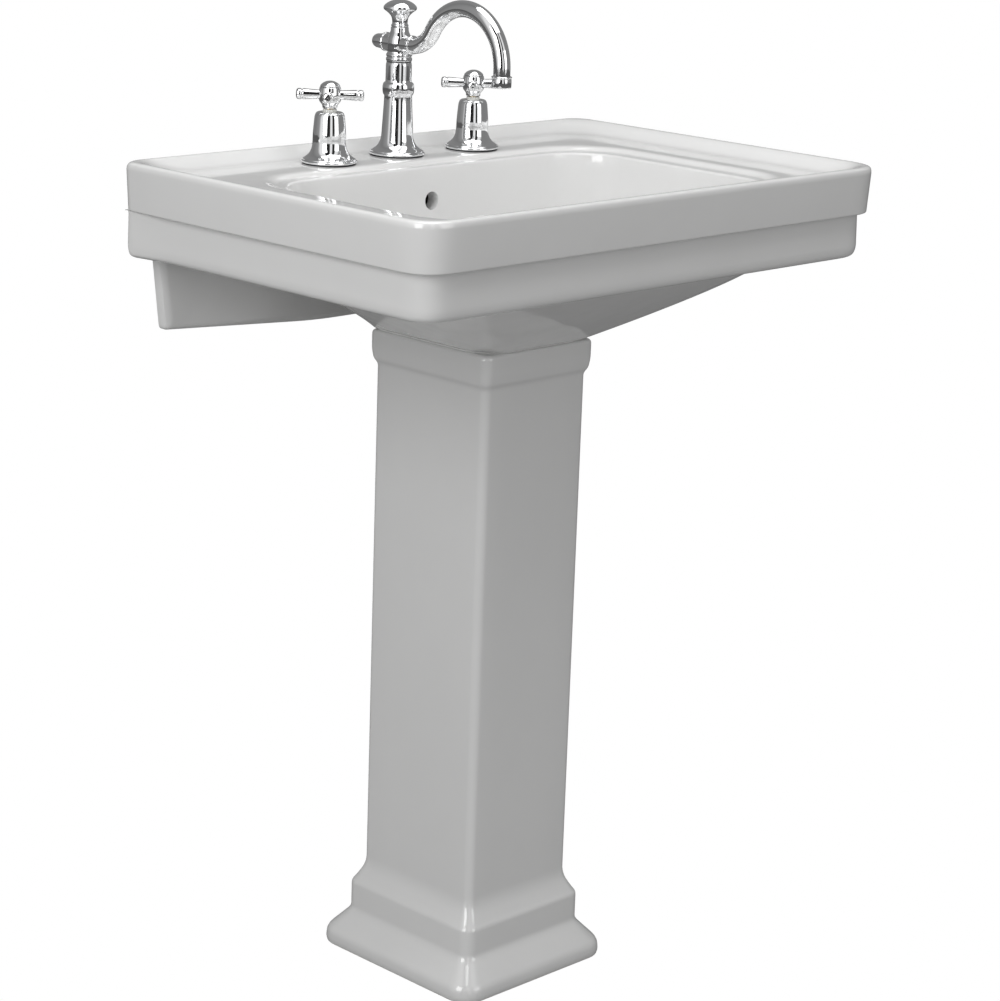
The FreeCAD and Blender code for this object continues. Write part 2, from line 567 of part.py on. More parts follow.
# ---------------------------------------------------------------- valves and cross handles
# Each side: a gasket, a bell escutcheon, a brass valve held by a nut under the deck, a quarter-turn cartridge,
# and a cross handle screwed to the cartridge's stem. inward is the side that faces the spout.
def valve_set(side, across, inward):
    home = {"x": across, "y": HANDLE_Y, "z": DECK}
    node(ring(f"{side}_gasket", "flange_radius - 1.5", "shank_radius + 1", "0", "gasket_thickness", **home),
         f"{side}_gasket")
    foot = "gasket_thickness"
    node(lathe(f"{side}_bell", [
        ("barrel_radius + 0.6", foot),
        ("flange_radius", foot),
        ("flange_radius", f"{foot} + flange_edge"),
        ("flange_radius - 2", f"{foot} + flange_edge + 1.5"),
        ("bell_low_radius", "bell_low_up", "-17"),
        ("bell_high_radius", "bell_high_up"),
        ("bonnet_radius + 1.6", "bell_top_up", "11"),
        ("bonnet_radius + 0.4", "bell_top_up"),
        ("bonnet_radius + 0.4", "bell_top_up - bell_skin"),
        ("barrel_radius + 0.6", "bell_high_up - 0.5")], **home), f"{side}_escutcheon")
    turned = lathe(f"{side}_valve_turned", [
        ("shank_radius - 3", "-(deck_thickness + shank_length)"),
        ("inlet_radius", "-(deck_thickness + shank_length)"),
        ("inlet_radius", "inlet_length - deck_thickness - shank_length"),
        ("shank_radius", "inlet_length - deck_thickness - shank_length"),
        ("shank_radius", "gasket_thickness + 1"),
        ("barrel_radius", "gasket_thickness + 1"),
        ("barrel_radius", "barrel_up"),
        ("cartridge_radius + 0.3", "barrel_up"),
        ("cartridge_radius + 0.3", "barrel_up - cartridge_depth"),
        ("shank_radius - 3", "barrel_up - cartridge_depth")], **home)
    port_z = f"{UNDER_DECK} - port_down"
    port_start = across if inward > 0 else f"{across} - port_reach"
    port = rod(f"{side}_port", "port_radius", "port_reach", x=port_start, y=HANDLE_Y, z=port_z,
               rotation=ALONG_X)
    port_bore = rod(f"{side}_port_bore", "tube_radius - tube_wall", "port_reach + 1",
                    x=across if inward > 0 else f"{across} - port_reach - 1", y=HANDLE_Y, z=port_z,
                    rotation=ALONG_X)
    waterway = rod(f"{side}_waterway", "shank_radius - 3", "deck_thickness + shank_length", x=across,
                   y=HANDLE_Y, z=f"{UNDER_DECK} - shank_length")
    node(cut(f"{side}_valve_cut", fused(f"{side}_valve_blank", turned, port), port_bore, waterway),
         f"{side}_valve_body")
    node(ring(f"{side}_washer", "washer_radius", "shank_radius + 0.3", "-washer_thickness", "0",
              x=across, y=HANDLE_Y, z=UNDER_DECK), f"{side}_washer")
    node(nut(f"{side}_locknut_cut", "nut_radius", "shank_radius", "nut_thickness", x=across, y=HANDLE_Y,
             z=f"{UNDER_DECK} - washer_thickness - nut_thickness"), f"{side}_locknut")
    node(lathe(f"{side}_cartridge_turned", [
        ("stem_radius + running_gap", "barrel_up - cartridge_depth + 12"),
        ("stem_radius + running_gap", "bonnet_up"),
        ("bonnet_radius", "bonnet_up"),
        ("bonnet_radius", "barrel_up + 2"),
        ("barrel_radius", "barrel_up + 1"),
        ("barrel_radius", "barrel_up"),
        ("cartridge_radius", "barrel_up"),
        ("cartridge_radius", "barrel_up - cartridge_depth"),
        ("cartridge_radius - 3", "barrel_up - cartridge_depth"),
        ("cartridge_radius - 3", "barrel_up - cartridge_depth + 12")], **home), f"{side}_cartridge")
    node(lathe(f"{side}_stem_turned", [
        ("handle_screw_radius", "stem_up - 12"),
        ("handle_screw_radius", "stem_up"),
        ("stem_radius", "stem_up"),
        ("stem_radius", "stem_up - stem_reach"),
        ("0", "stem_up - stem_reach"),
        ("0", "stem_up - 12")], **home), f"{side}_stem")

    cross = doc.addObject("PartDesign::Body", f"{side}_cross")
    hub_sketch = attached_sketch(cross, f"{side}_cross_hub", "XZ_Plane", [
        ("stem_radius", "neck_up"),
        ("neck_radius", "neck_up"),
        ("neck_radius", "neck_up + 2"),
        ("hub_radius - 1", "hub_low_up", "-12"),
        ("hub_radius", "arm_up", "40"),
        ("hub_radius - 0.8", "hub_high_up"),
        ("hub_radius - 2.2", "hub_high_up"),
        ("hub_radius - 2.2", "stem_up"),
        ("stem_radius", "stem_up")])
    hub = cross.newObject("PartDesign::Revolution", f"{side}_cross_hub_turn")
    hub.Profile = hub_sketch
    hub.ReferenceAxis = (hub_sketch, ["V_Axis"])
    hub.Angle = 360
    arm_sketch = attached_sketch(cross, f"{side}_cross_arm", "XZ_Plane", [
        ("stem_radius + 3", "0"),
        ("stem_radius + 3", "arm_root_radius"),
        ("hub_radius + 3", "arm_root_radius"),
        ("arm_reach - 8", "arm_radius"),
        ("arm_reach - 6.5", "arm_radius"),
        ("arm_reach - 6", "arm_radius - 0.8"),
        ("arm_reach - 5", "arm_radius - 0.8"),
        ("arm_reach - 4.5", "arm_radius + 0.2"),
        ("arm_reach - 2", "arm_radius + 0.2"),
        ("arm_reach", "arm_radius - 2", "-2.6"),
        ("arm_reach", "0")], lift="arm_up")
    arm = cross.newObject("PartDesign::Revolution", f"{side}_cross_arm_turn")
    arm.Profile = arm_sketch
    arm.ReferenceAxis = (arm_sketch, ["H_Axis"])
    arm.Angle = 360
    arms = cross.newObject("PartDesign::PolarPattern", f"{side}_cross_arms")
    arms.Originals = [arm]
    arms.Axis = (plane(cross, "Z_Axis"), [""])
    arms.Angle = 360
    arms.Occurrences = 4
    cross.Tip = arms
    place(cross, rotation=Rotation(Vector(0, 0, 1), 45), **home)
    node(cross, f"{side}_cross_handle")
    node(lathe(f"{side}_screw_turned", [
        ("0", "stem_up - 10"),
        ("handle_screw_radius", "stem_up - 10"),
        ("handle_screw_radius", "stem_up"),
        ("handle_screw_radius * 2", "stem_up"),
        ("handle_screw_radius * 2", "stem_up + 1.8"),
        ("0", "stem_up + 1.8")], **home), f"{side}_handle_screw")
    node(lathe(f"{side}_cap_turned", [
        ("hub_radius - 3.6", "hub_high_up - 2"),
        ("hub_radius - 2.2", "hub_high_up - 2"),
        ("hub_radius - 2.2", "hub_high_up"),
        ("hub_radius - 0.8", "hub_high_up"),
        ("hub_radius - 1.6", "hub_high_up + 2"),
        ("0.5", "cap_up", "13"),
        ("0", "cap_up"),
        ("0", "hub_high_up + 1"),
        ("hub_radius - 3.6", "hub_high_up + 1")], **home), f"{side}_handle_cap")


valve_set("hot", "-handle_spacing / 2", 1)
valve_set("cold", "handle_spacing / 2", -1)

# ---------------------------------------------------------------- spout
# A turned column with a threaded shank; on its spigot swivels a cross-shaped hub that holds the bent spout.
spout_home = {"y": SPOUT_Y, "z": DECK}
SHANK_LOW = "-(deck_thickness + shank_length)"
PORT_Z = f"({UNDER_DECK} - port_down)"
SEAT_UP = "(sleeve_top_up + swivel_ring)"
node(ring("spout_gasket_ring", "flange_radius - 1", "shank_radius + 1", "0", "gasket_thickness", **spout_home),
     "spout_gasket")
groove_corners = []
for low in (2, 6):
    groove_corners += [
        ("spigot_radius", f"{SEAT_UP} + {low}"),
        ("spigot_radius - 1.3", f"{SEAT_UP} + {low}"),
        ("spigot_radius - 1.3", f"{SEAT_UP} + {low} + 1.8"),
        ("spigot_radius", f"{SEAT_UP} + {low} + 1.8")]
column = lathe("spout_column_turned", [
    ("lift_rod_radius + 1", SHANK_LOW),
    ("shank_radius", SHANK_LOW),
    ("shank_radius", "gasket_thickness"),
    ("flange_radius + 0.5", "gasket_thickness"),
    ("flange_radius + 0.5", "gasket_thickness + flange_edge"),
    ("flange_radius - 1.5", "gasket_thickness + flange_edge + 1.5"),
    ("column_low_radius", "column_low_up", "-17"),
    ("column_high_radius", "column_high_up"),
    ("bead_radius", "bead_low_up"),
    ("bead_radius", "bead_high_up", "12"),
    ("sleeve_radius + 0.4", "bead_high_up + 1.5"),
    ("sleeve_radius", "sleeve_top_up"),
    ("spigot_radius", "sleeve_top_up")] + groove_corners + [
    ("spigot_radius", f"{SEAT_UP} + spigot_height"),
    ("lift_rod_radius + running_gap", f"{SEAT_UP} + spigot_height"),
    ("lift_rod_radius + running_gap", "sleeve_top_up"),
    ("lift_rod_radius + 1", "sleeve_top_up - 2")], **spout_home)
gallery_bore = rod("spout_gallery", "2", "sleeve_top_up + spigot_height + 17 + deck_thickness + port_down",
                   y=f"{SPOUT_Y} + 6", z=f"{PORT_Z} - 3")
gallery_mouth = rod("spout_gallery_mouth", "2", "shank_radius", y=f"{SPOUT_Y} + 5", z=PORT_Z, rotation=ALONG_Y)
node(cut("spout_column_cut", column, gallery_bore, gallery_mouth), "spout_column")
node(ring("spout_washer_ring", "washer_radius", "shank_radius + 0.3", "-washer_thickness", "0",
          y=SPOUT_Y, z=UNDER_DECK), "spout_washer")
node(nut("spout_locknut_cut", "nut_radius", "shank_radius", "nut_thickness", y=SPOUT_Y,
         z=f"{UNDER_DECK} - washer_thickness - nut_thickness"), "spout_locknut")
node(ring("swivel_ring_turned", "sleeve_radius - 0.5", "spigot_radius + running_gap", "sleeve_top_up", SEAT_UP,
          **spout_home), "swivel_ring")
seals = [ring(f"spout_oring_{low}", "spigot_radius - 0.1", "spigot_radius - 1.3", f"{SEAT_UP} + {low} + 0.1",
              f"{SEAT_UP} + {low} + 1.7", **spout_home) for low in (2, 6)]
node(fused("spout_orings_pair", *seals), "spout_orings")

turned_hub = lathe("spout_hub_turned", [
    ("lift_rod_radius + 1", SEAT_UP),
    ("collar_radius", SEAT_UP),
    ("collar_radius", f"{SEAT_UP} + collar_height * 0.4"),
    ("collar_radius - 0.9", f"{SEAT_UP} + collar_height * 0.5"),
    ("collar_radius", f"{SEAT_UP} + collar_height * 0.6"),
    ("collar_radius", f"{SEAT_UP} + collar_height"),
    ("collar_radius - 1.2", f"{SEAT_UP} + collar_height + 0.8"),
    ("collar_radius - 0.4", "cross_up", "24"),
    ("crown_radius + 2", "cross_up + cross_radius", "22"),
    ("crown_radius", "crown_up - 3", "-12"),
    ("crown_radius", "crown_up"),
    ("lift_rod_radius + 1", "crown_up")], **spout_home)
barrel = rod("spout_hub_barrel", "cross_radius", "cross_half * 2", y=f"{SPOUT_Y} - cross_half",
             z=f"{DECK} + cross_up", rotation=ALONG_Y)
chamber = rod("spout_hub_chamber", "spigot_radius + running_gap", "cross_up + cross_radius - 3 - sleeve_top_up",
              y=SPOUT_Y, z=f"{DECK} + sleeve_top_up")
rod_way = rod("spout_hub_rod_way", "lift_rod_radius + 1", "crown_up", y=SPOUT_Y, z=f"{DECK} + sleeve_top_up")
socket = rod("spout_hub_socket", "spout_radius + running_gap", "6", y=f"{SPOUT_Y} - cross_half - 1",
             z=f"{DECK} + cross_up", rotation=ALONG_Y)
outlet = rod("spout_hub_outlet", "spout_bore", "cross_half", y=f"{SPOUT_Y} - cross_half",
             z=f"{DECK} + cross_up", rotation=ALONG_Y)
tapping = rod("spout_hub_tapping", "button_radius / 2", "9", y=f"{SPOUT_Y} + cross_half - 8",
              z=f"{DECK} + cross_up", rotation=ALONG_Y)
hub_blank = fused("spout_hub_blank", turned_hub, barrel)
node(cut("spout_hub_cut", hub_blank, chamber, rod_way, socket, outlet, tapping), "spout_hub")

# The centre line of the spout: out of the hub, up through a small bend, over the arch and straight down.
TUBE_START = "(cross_half - 5)"
SWEEP_X = "(spout_reach - arch_radius - (arch_radius + sweep_radius) * sin(turn_angle))"
CHANGE_X = "(spout_reach - arch_radius - arch_radius * sin(turn_angle))"
CHANGE_UP = "(cross_up + sweep_radius * (1 - cos(turn_angle)))"
ARCH_UP = "(cross_up + sweep_radius - (arch_radius + sweep_radius) * cos(turn_angle))"
TUBE_END_UP = "(outlet_up - 5)"
tube_body = doc.addObject("PartDesign::Body", "spout_tube_body")
spine = attached_sketch(tube_body, "spout_tube_spine", "YZ_Plane", [
    (f"-{TUBE_START}", "cross_up"),
    (f"-{SWEEP_X}", "cross_up"),
    (f"-{CHANGE_X}", CHANGE_UP, "-sweep_radius"),
    ("-spout_reach", ARCH_UP, "arch_radius"),
    ("-spout_reach", TUBE_END_UP)], closed=False)
for kind, name, size in (("Additive", "spout_tube_skin", "spout_radius"),
                         ("Subtractive", "spout_tube_way", "spout_bore")):
    circle = tube_body.newObject("Sketcher::SketchObject", name + "_section")
    circle.AttachmentSupport = (plane(tube_body, "XZ_Plane"), [""])
    circle.MapMode = "FlatFace"
    circle.setExpression("AttachmentOffset.Base.y", qualified("cross_up"))
    circle.setExpression("AttachmentOffset.Base.z", qualified(TUBE_START))
    circle.addGeometry(Part.Circle(Vector(), Vector(0, 0, 1), number(size)), False)
    circle.addConstraint(Sketcher.Constraint("Coincident", 0, 3, -1, 1))
    circle.addConstraint(Sketcher.Constraint("Radius", 0, number(size)))
    circle.setExpression("Constraints[1]", qualified(size))
    pipe = tube_body.newObject(f"PartDesign::{kind}Pipe", name)
    pipe.Profile = circle
    pipe.Spine = (spine, [f"Edge{index}" for index in range(1, 5)])
place(tube_body, **spout_home)
node(tube_body, "spout_tube")

node(lathe("rear_button_turned", [
    ("0", "cross_half - 8"),
    ("button_radius / 2", "cross_half - 8"),
    ("button_radius / 2", "cross_half"),
    ("button_radius - 0.8", "cross_half"),
    ("button_radius", "cross_half + 1.5"),
    ("button_radius - 0.3", "button_reach - 4"),
    ("button_radius / 2", "button_reach - 0.6", "5"),
    ("0.5", "button_reach", "16"),
    ("0", "button_reach")], y=SPOUT_Y, z=f"{DECK} + cross_up", rotation=ALONG_Y), "rear_button")
outlet_home = {"y": f"{SPOUT_Y} - spout_reach", "z": DECK}
node(lathe("aerator_housing_turned", [
    ("spout_bore + 0.8", "outlet_up - aerator_height"),
    ("aerator_radius - 0.6", "outlet_up - aerator_height"),
    ("aerator_radius", "outlet_up - aerator_height + 0.8"),
    ("aerator_radius", "outlet_up - 1.6"),
    ("aerator_radius + 0.5", "outlet_up - 1.2"),
    ("spout_radius + 0.6", "outlet_up"),
    ("spout_radius + running_gap", "outlet_up"),
    ("spout_radius + running_gap", TUBE_END_UP),
    ("spout_bore + 0.8", TUBE_END_UP)], **outlet_home), "aerator_housing")
node(ring("aerator_insert_turned", "spout_bore + 0.7", "1.2", "outlet_up - aerator_height + 0.8", TUBE_END_UP,
          **outlet_home), "aerator_insert")

# ---------------------------------------------------------------- tee and supply tubes
# A brass block on the spout's shank takes a rigid tube from each valve; a gland nut closes each tube's end.
tee_block = block("tee_block", "-tee_half", f"{HANDLE_Y} - 9", f"{PORT_Z} - tee_height / 2", "tee_half * 2",
                  f"{SPOUT_Y} - {HANDLE_Y} + 24", "tee_height")
tee_nipples = rod("tee_nipples", "port_radius", "(tee_half + tee_nipple) * 2", x="-tee_half - tee_nipple",
                  y=HANDLE_Y, z=PORT_Z, rotation=ALONG_X)
tee_way = rod("tee_way", "tube_radius - tube_wall", "(tee_half + tee_nipple) * 2 + 2",
              x="-tee_half - tee_nipple - 1", y=HANDLE_Y, z=PORT_Z, rotation=ALONG_X)
tee_hole = rod("tee_hole", "shank_radius", "tee_height + 2", y=SPOUT_Y, z=f"{PORT_Z} - tee_height / 2 - 1")
tee_groove = rod("tee_groove", "shank_radius + 1.5", "6", y=SPOUT_Y, z=f"{PORT_Z} - 3")
node(cut("tee_cut", fused("tee_blank", tee_block, tee_nipples), tee_way, tee_hole, tee_groove), "supply_tee")
gland_nuts = []
for side, sign in (("hot", -1), ("cold", 1)):
    near, far = "(tee_half + tee_nipple)", "(handle_spacing / 2 - port_reach)"
    start = f"-{far}" if sign < 0 else near
    tube = rod(f"{side}_tube_skin", "tube_radius", f"{far} - {near}", x=start, y=HANDLE_Y, z=PORT_Z,
               rotation=ALONG_X)
    way = rod(f"{side}_tube_way", "tube_radius - tube_wall", f"{far} - {near}", x=start, y=HANDLE_Y, z=PORT_Z,
              rotation=ALONG_X)
    node(cut(f"{side}_tube_cut", tube, way), f"{side}_supply_tube")
    for name, place_x in (("tee", near), ("valve", far)):
        middle = f"{sign} * {place_x}"
        inner = middle if (name == "tee") == (sign < 0) else f"{middle} - gland_length / 2"
        blank = hexagon(f"{side}_{name}_gland_blank", "gland_radius + 1", "gland_length",
                        x=f"{middle} - gland_length / 2", y=HANDLE_Y, z=PORT_Z, rotation=ALONG_X)
        bore = rod(f"{side}_{name}_gland_bore", "tube_radius", "gland_length", x=f"{middle} - gland_length / 2",
                   y=HANDLE_Y, z=PORT_Z, rotation=ALONG_X)
        thread = rod(f"{side}_{name}_gland_thread", "port_radius", "gland_length / 2", x=inner, y=HANDLE_Y,
                     z=PORT_Z, rotation=ALONG_X)
        gland_nuts.append(cut(f"{side}_{name}_gland", blank, bore, thread))
gland_group = doc.addObject("Part::Compound", "gland_group")
gland_group.Links = gland_nuts
node(gland_group, "gland_nuts")

# ---------------------------------------------------------------- pop-up waste
# The knob's rod lifts a strap, the strap tips the pivot rod, and the rod's short end drops the stopper.
node(rod("lift_rod_round", "lift_rod_radius", f"{DECK} + crown_up + 9 - lift_rod_end", y=SPOUT_Y,
         z="lift_rod_end"), "lift_rod")
node(lathe("lift_knob_turned", [
    ("lift_rod_radius", "crown_up + assembly_gap"),
    ("knob_neck_radius", "crown_up + assembly_gap"),
    ("knob_neck_radius", "crown_up + 2.5"),
    ("knob_neck_radius - 0.7", "crown_up + 7"),
    ("knob_radius", "knob_up - 9", "-13"),
    ("knob_radius - 3", "knob_up - 3.5", "5"),
    ("0.5", "knob_up", "34"),
    ("0", "knob_up"),
    ("0", "crown_up + 9"),
    ("lift_rod_radius", "crown_up + 9")], **spout_home), "lift_knob")
STRAP_Y = f"({SPOUT_Y} + 5.2)"
PIVOT_Y = "(drain_back + pivot_offset)"
LEVER = f"({STRAP_Y} - {PIVOT_Y})"
TILT = f"asin(lift_travel / 2 / {LEVER})"
HOOK_Z = f"(pivot_height - {LEVER} * tan({TILT}))"
CLEVIS_HEIGHT = "14"
clevis = block("clevis_block", "-strap_width / 2", f"{SPOUT_Y} - 6", "lift_rod_end", "strap_width", "12",
               CLEVIS_HEIGHT)
tail = block("strap_tail", "-strap_width / 2", f"{STRAP_Y} - strap_thickness / 2", "strap_end", "strap_width",
             "strap_thickness", f"lift_rod_end + {CLEVIS_HEIGHT} - strap_end")
rod_hole = rod("clevis_rod_hole", "lift_rod_radius", CLEVIS_HEIGHT, y=SPOUT_Y, z="lift_rod_end")
screw_hole = rod("clevis_screw_hole", "2", "8", x="-8", y=SPOUT_Y, z=f"lift_rod_end + {CLEVIS_HEIGHT} / 2",
                 rotation=ALONG_X)
strap_holes = [rod(f"strap_hole_{index}", "strap_hole_radius", "8", y=f"{STRAP_Y} - 4",
                   z=f"{HOOK_Z} + {12 * index}", rotation=ALONG_Y) for index in range(5)]
node(cut("strap_cut", fused("strap_blank", clevis, tail), rod_hole, screw_hole, *strap_holes), "lift_strap")
node(lathe("clevis_screw_turned", [
    ("0", "-16"),
    ("6", "-16"),
    ("6.5", "-15"),
    ("6.5", "-12.5"),
    ("5.5", "-12"),
    ("2", "-12"),
    ("2", "-lift_rod_radius"),
    ("0", "-lift_rod_radius")], y=SPOUT_Y, z=f"lift_rod_end + {CLEVIS_HEIGHT} / 2", rotation=ALONG_X),
     "clevis_screw")

lever = lathe("pivot_rod_turned", [
    ("0", "-(pivot_offset + 8)"),
    ("pivot_rod_radius", "-(pivot_offset + 8)"),
    ("pivot_rod_radius", "-sqrt(pivot_ball_radius ^ 2 - pivot_rod_radius ^ 2)"),
    ("pivot_rod_radius", "sqrt(pivot_ball_radius ^ 2 - pivot_rod_radius ^ 2)", "pivot_ball_radius"),
    ("pivot_rod_radius", f"{LEVER} + pivot_tail"),
    ("0", f"{LEVER} + pivot_tail")], y=PIVOT_Y, z="pivot_height")
lever.Placement = Placement(lever.Placement.Base, Rotation(Vector(-1, 0, 0), 90))
lever.setExpression(".Placement.Rotation.Angle", qualified(f"90 deg + {TILT}"))
node(lever, "pivot_rod")
clip_legs = [block(f"clip_leg_{index}", "-6", str(along), "-5", "13.3", "0.8", "10")
             for index, along in enumerate((-3.5, 2.7))]
clip_back = block("clip_back", "6.5", "-3.5", "-5", "0.8", "7", "10")
clip_hole = rod("clip_hole", "pivot_rod_radius", "12", y="-6", rotation=ALONG_Y)
clip_body = doc.addObject("Part::Compound", "clip_group")
clip_body.Links = [cut("clip_cut", fused("clip_blank", clip_back, *clip_legs), clip_hole)]
clip_body.Placement = Placement(Vector(), Rotation(Vector(-1, 0, 0), 5))
place(clip_body, y=STRAP_Y, z=HOOK_Z)
clip_body.setExpression(".Placement.Rotation.Angle", qualified(TILT))
node(clip_body, "spring_clip")

drain = {"y": DRAIN_Y}
WASTE_TOP = "(floor_height - 6)"
WASTE_LOW = f"({WASTE_TOP} - waste_body_length)"
node(ring("waste_gasket_ring", "waste_flange_radius - 1", "drain_hole_radius + 1", "floor_height",
          "floor_height + gasket_thickness", **drain), "waste_gasket")
flange_turned = lathe("waste_flange_turned", [
    ("waste_tube_bore", "floor_height - waste_tube_length"),
    ("waste_tube_radius", "floor_height - waste_tube_length"),
    ("waste_tube_radius", "floor_height + gasket_thickness"),
    ("waste_flange_radius", "floor_height + gasket_thickness"),
    ("waste_flange_radius - 0.6", "floor_height + gasket_thickness + 1"),
    ("stopper_radius + 2", "floor_height + gasket_thickness + 3", "60"),
    ("stopper_radius", "floor_height + gasket_thickness + 1.6"),
    ("waste_tube_bore + 1", "floor_height + gasket_thickness + 1.2"),
    ("waste_tube_bore", "floor_height + gasket_thickness")], **drain)
slot_height = "keel_height + 6 + channel_depth / 2"
flange_slot = rod("waste_flange_slot", "3", "60", y=f"{DRAIN_Y} - 30", z=slot_height, rotation=ALONG_Y)
node(cut("waste_flange_cut", flange_turned, flange_slot), "waste_flange")
body_turned = lathe("waste_body_turned", [
    ("tailpiece_thread", WASTE_LOW),
    ("waste_body_radius", WASTE_LOW),
    ("waste_body_radius", WASTE_TOP),
    ("waste_tube_radius + running_gap", WASTE_TOP),
    ("waste_tube_radius + running_gap", f"{WASTE_LOW} + tailpiece_grip + 2"),
    ("tailpiece_thread", f"{WASTE_LOW} + tailpiece_grip")], **drain)
ball_port = rod("ball_port", "pivot_ball_radius + 4.2", "pivot_offset + 7 - 17", y=f"{DRAIN_Y} + 17",
                z="pivot_height", rotation=ALONG_Y)
ball_bore = rod("ball_bore", "pivot_ball_radius + assembly_gap", "30", y=f"{DRAIN_Y} + 8", z="pivot_height",
                rotation=ALONG_Y)
body_slot = rod("waste_body_slot", "3", "60", y=f"{DRAIN_Y} - 30", z=slot_height, rotation=ALONG_Y)
body_blank = fused("waste_body_blank", body_turned, ball_port)
node(cut("waste_body_cut", body_blank, ball_bore, body_slot), "waste_body")
node(lathe("pivot_nut_turned", [
    ("pivot_ball_radius + 4.25", "pivot_offset + 1"),
    ("pivot_ball_radius + 7", "pivot_offset + 1"),
    ("pivot_ball_radius + 7", "pivot_offset + 13"),
    ("pivot_ball_radius + 6", "pivot_offset + 14"),
    ("5.6", "pivot_offset + 14"),
    ("5.6", "pivot_offset + 7"),
    ("pivot_ball_radius + 4.25", "pivot_offset + 7")], y=DRAIN_Y, z="pivot_height", rotation=ALONG_Y),
     "pivot_nut")
node(ring("waste_washer_ring", "waste_nut_radius - 1", "waste_body_radius + 0.2",
          "pedestal_top - washer_thickness", "pedestal_top", **drain), "waste_washer")
node(nut("waste_locknut_cut", "waste_nut_radius", "waste_body_radius", "nut_thickness", y=DRAIN_Y,
         z="pedestal_top - washer_thickness - nut_thickness"), "waste_locknut")
node(lathe("tailpiece_turned", [
    ("tailpiece_radius - tailpiece_wall", f"{WASTE_LOW} + tailpiece_grip - tailpiece_length"),
    ("tailpiece_radius", f"{WASTE_LOW} + tailpiece_grip - tailpiece_length"),
    ("tailpiece_radius", WASTE_LOW),
    ("tailpiece_thread", WASTE_LOW),
    ("tailpiece_thread", f"{WASTE_LOW} + tailpiece_grip"),
    ("tailpiece_radius - tailpiece_wall", f"{WASTE_LOW} + tailpiece_grip")], **drain), "tailpiece")

STOPPER_LOW = "(floor_height + gasket_thickness + 1.8 + stopper_lift)"
EYE_Z = f"(pivot_height + pivot_offset * tan({TILT}))"
stopper_turned = lathe("stopper_turned", [
    ("0", f"{EYE_Z} - 9"),
    ("stopper_stem_radius - 1", f"{EYE_Z} - 9"),
    ("stopper_stem_radius", f"{EYE_Z} - 7"),
    ("stopper_stem_radius", f"{STOPPER_LOW} + 1.6 - 3"),
    ("waste_tube_bore - 3", f"{STOPPER_LOW} + 1.6 - 3"),
    ("waste_tube_bore - 3", f"{STOPPER_LOW} + 1.6"),
    ("stopper_radius", f"{STOPPER_LOW} + 1.6"),
    ("stopper_radius", f"{STOPPER_LOW} + 3"),
    ("stopper_radius - 1", f"{STOPPER_LOW} + 4.2", "1.8"),
    ("0.5", f"{STOPPER_LOW} + 8", "60"),
    ("0", f"{STOPPER_LOW} + 8")], **drain)
wings = [block(f"stopper_wing_{index}", *spot, f"{STOPPER_LOW} - 34", *spans, "33") for index, (spot, spans) in
         enumerate(((("1 - waste_tube_bore", f"{DRAIN_Y} - 0.8"), ("waste_tube_bore * 2 - 2", "1.6")),
                    (("-0.8", f"{DRAIN_Y} + 1 - waste_tube_bore"), ("1.6", "waste_tube_bore * 2 - 2"))))]
eye = rod("stopper_eye", "pivot_rod_radius + 1.3", "20", y=f"{DRAIN_Y} - 10", z=EYE_Z, rotation=ALONG_Y)
node(cut("stopper_cut", fused("stopper_blank", stopper_turned, *wings), eye), "stopper")
node(ring("stopper_seal_ring", "stopper_radius - 0.6", "waste_tube_bore - 3", STOPPER_LOW,
          f"{STOPPER_LOW} + 1.6", **drain), "stopper_seal")

doc.recompute()
bad = [thing.Name for thing in doc.Objects if {"Invalid", "Error"} & set(thing.State)]
if bad:
    raise SystemExit(f"failed objects: {bad}")
os.makedirs("parts", exist_ok=True)
for thing in nodes:
    if thing.Shape.isNull() or not thing.Shape.isValid():
        raise SystemExit(f"{thing.Label} has no valid shape")
    thing.Shape.exportStep(f"parts/{thing.Label}.step")
    print(f"{thing.Label}: {len(thing.Shape.Solids)} solid, {thing.Shape.Volume / 1000:.1f} cm3")
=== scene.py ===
"""Looks of the pedestal sink: glazed china on a square column, a polished chrome tap and its pop-up waste."""
import json
import math
import bmesh
import bpy
import numpy as np
from mathutils import Matrix


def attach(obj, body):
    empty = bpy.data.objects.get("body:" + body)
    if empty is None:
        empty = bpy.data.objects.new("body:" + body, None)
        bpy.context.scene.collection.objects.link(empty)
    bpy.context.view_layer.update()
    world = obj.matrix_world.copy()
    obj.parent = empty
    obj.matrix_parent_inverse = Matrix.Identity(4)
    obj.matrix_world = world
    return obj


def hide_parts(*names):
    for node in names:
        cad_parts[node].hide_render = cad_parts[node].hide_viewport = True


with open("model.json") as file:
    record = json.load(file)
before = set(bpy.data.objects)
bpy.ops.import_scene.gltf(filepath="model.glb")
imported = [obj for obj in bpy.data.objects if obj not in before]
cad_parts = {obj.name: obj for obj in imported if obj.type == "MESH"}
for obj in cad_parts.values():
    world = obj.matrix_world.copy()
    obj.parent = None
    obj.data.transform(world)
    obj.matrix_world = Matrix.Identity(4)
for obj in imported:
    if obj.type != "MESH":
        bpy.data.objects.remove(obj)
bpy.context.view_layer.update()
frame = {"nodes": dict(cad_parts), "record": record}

# ------------------------------------------------------------ camera
# The camera stands left of and in front of the sink, a little above its rim, and looks down at it.
yaw, pitch, roll = (math.radians(angle) for angle in (45.21, 15.21, 2.02))
ahead = np.array([math.sin(yaw) * math.cos(pitch), math.cos(yaw) * math.cos(pitch), -math.sin(pitch)])
level = np.array([math.cos(yaw), -math.sin(yaw), 0])
upright = np.cross(level, ahead)
across = level * math.cos(roll) + upright * math.sin(roll)
upward = upright * math.cos(roll) - level * math.sin(roll)
eye = bpy.data.objects.new("camera", bpy.data.cameras.new("camera"))
eye.data.sensor_fit = "HORIZONTAL"
eye.data.sensor_width = 36
eye.data.lens = 99.87
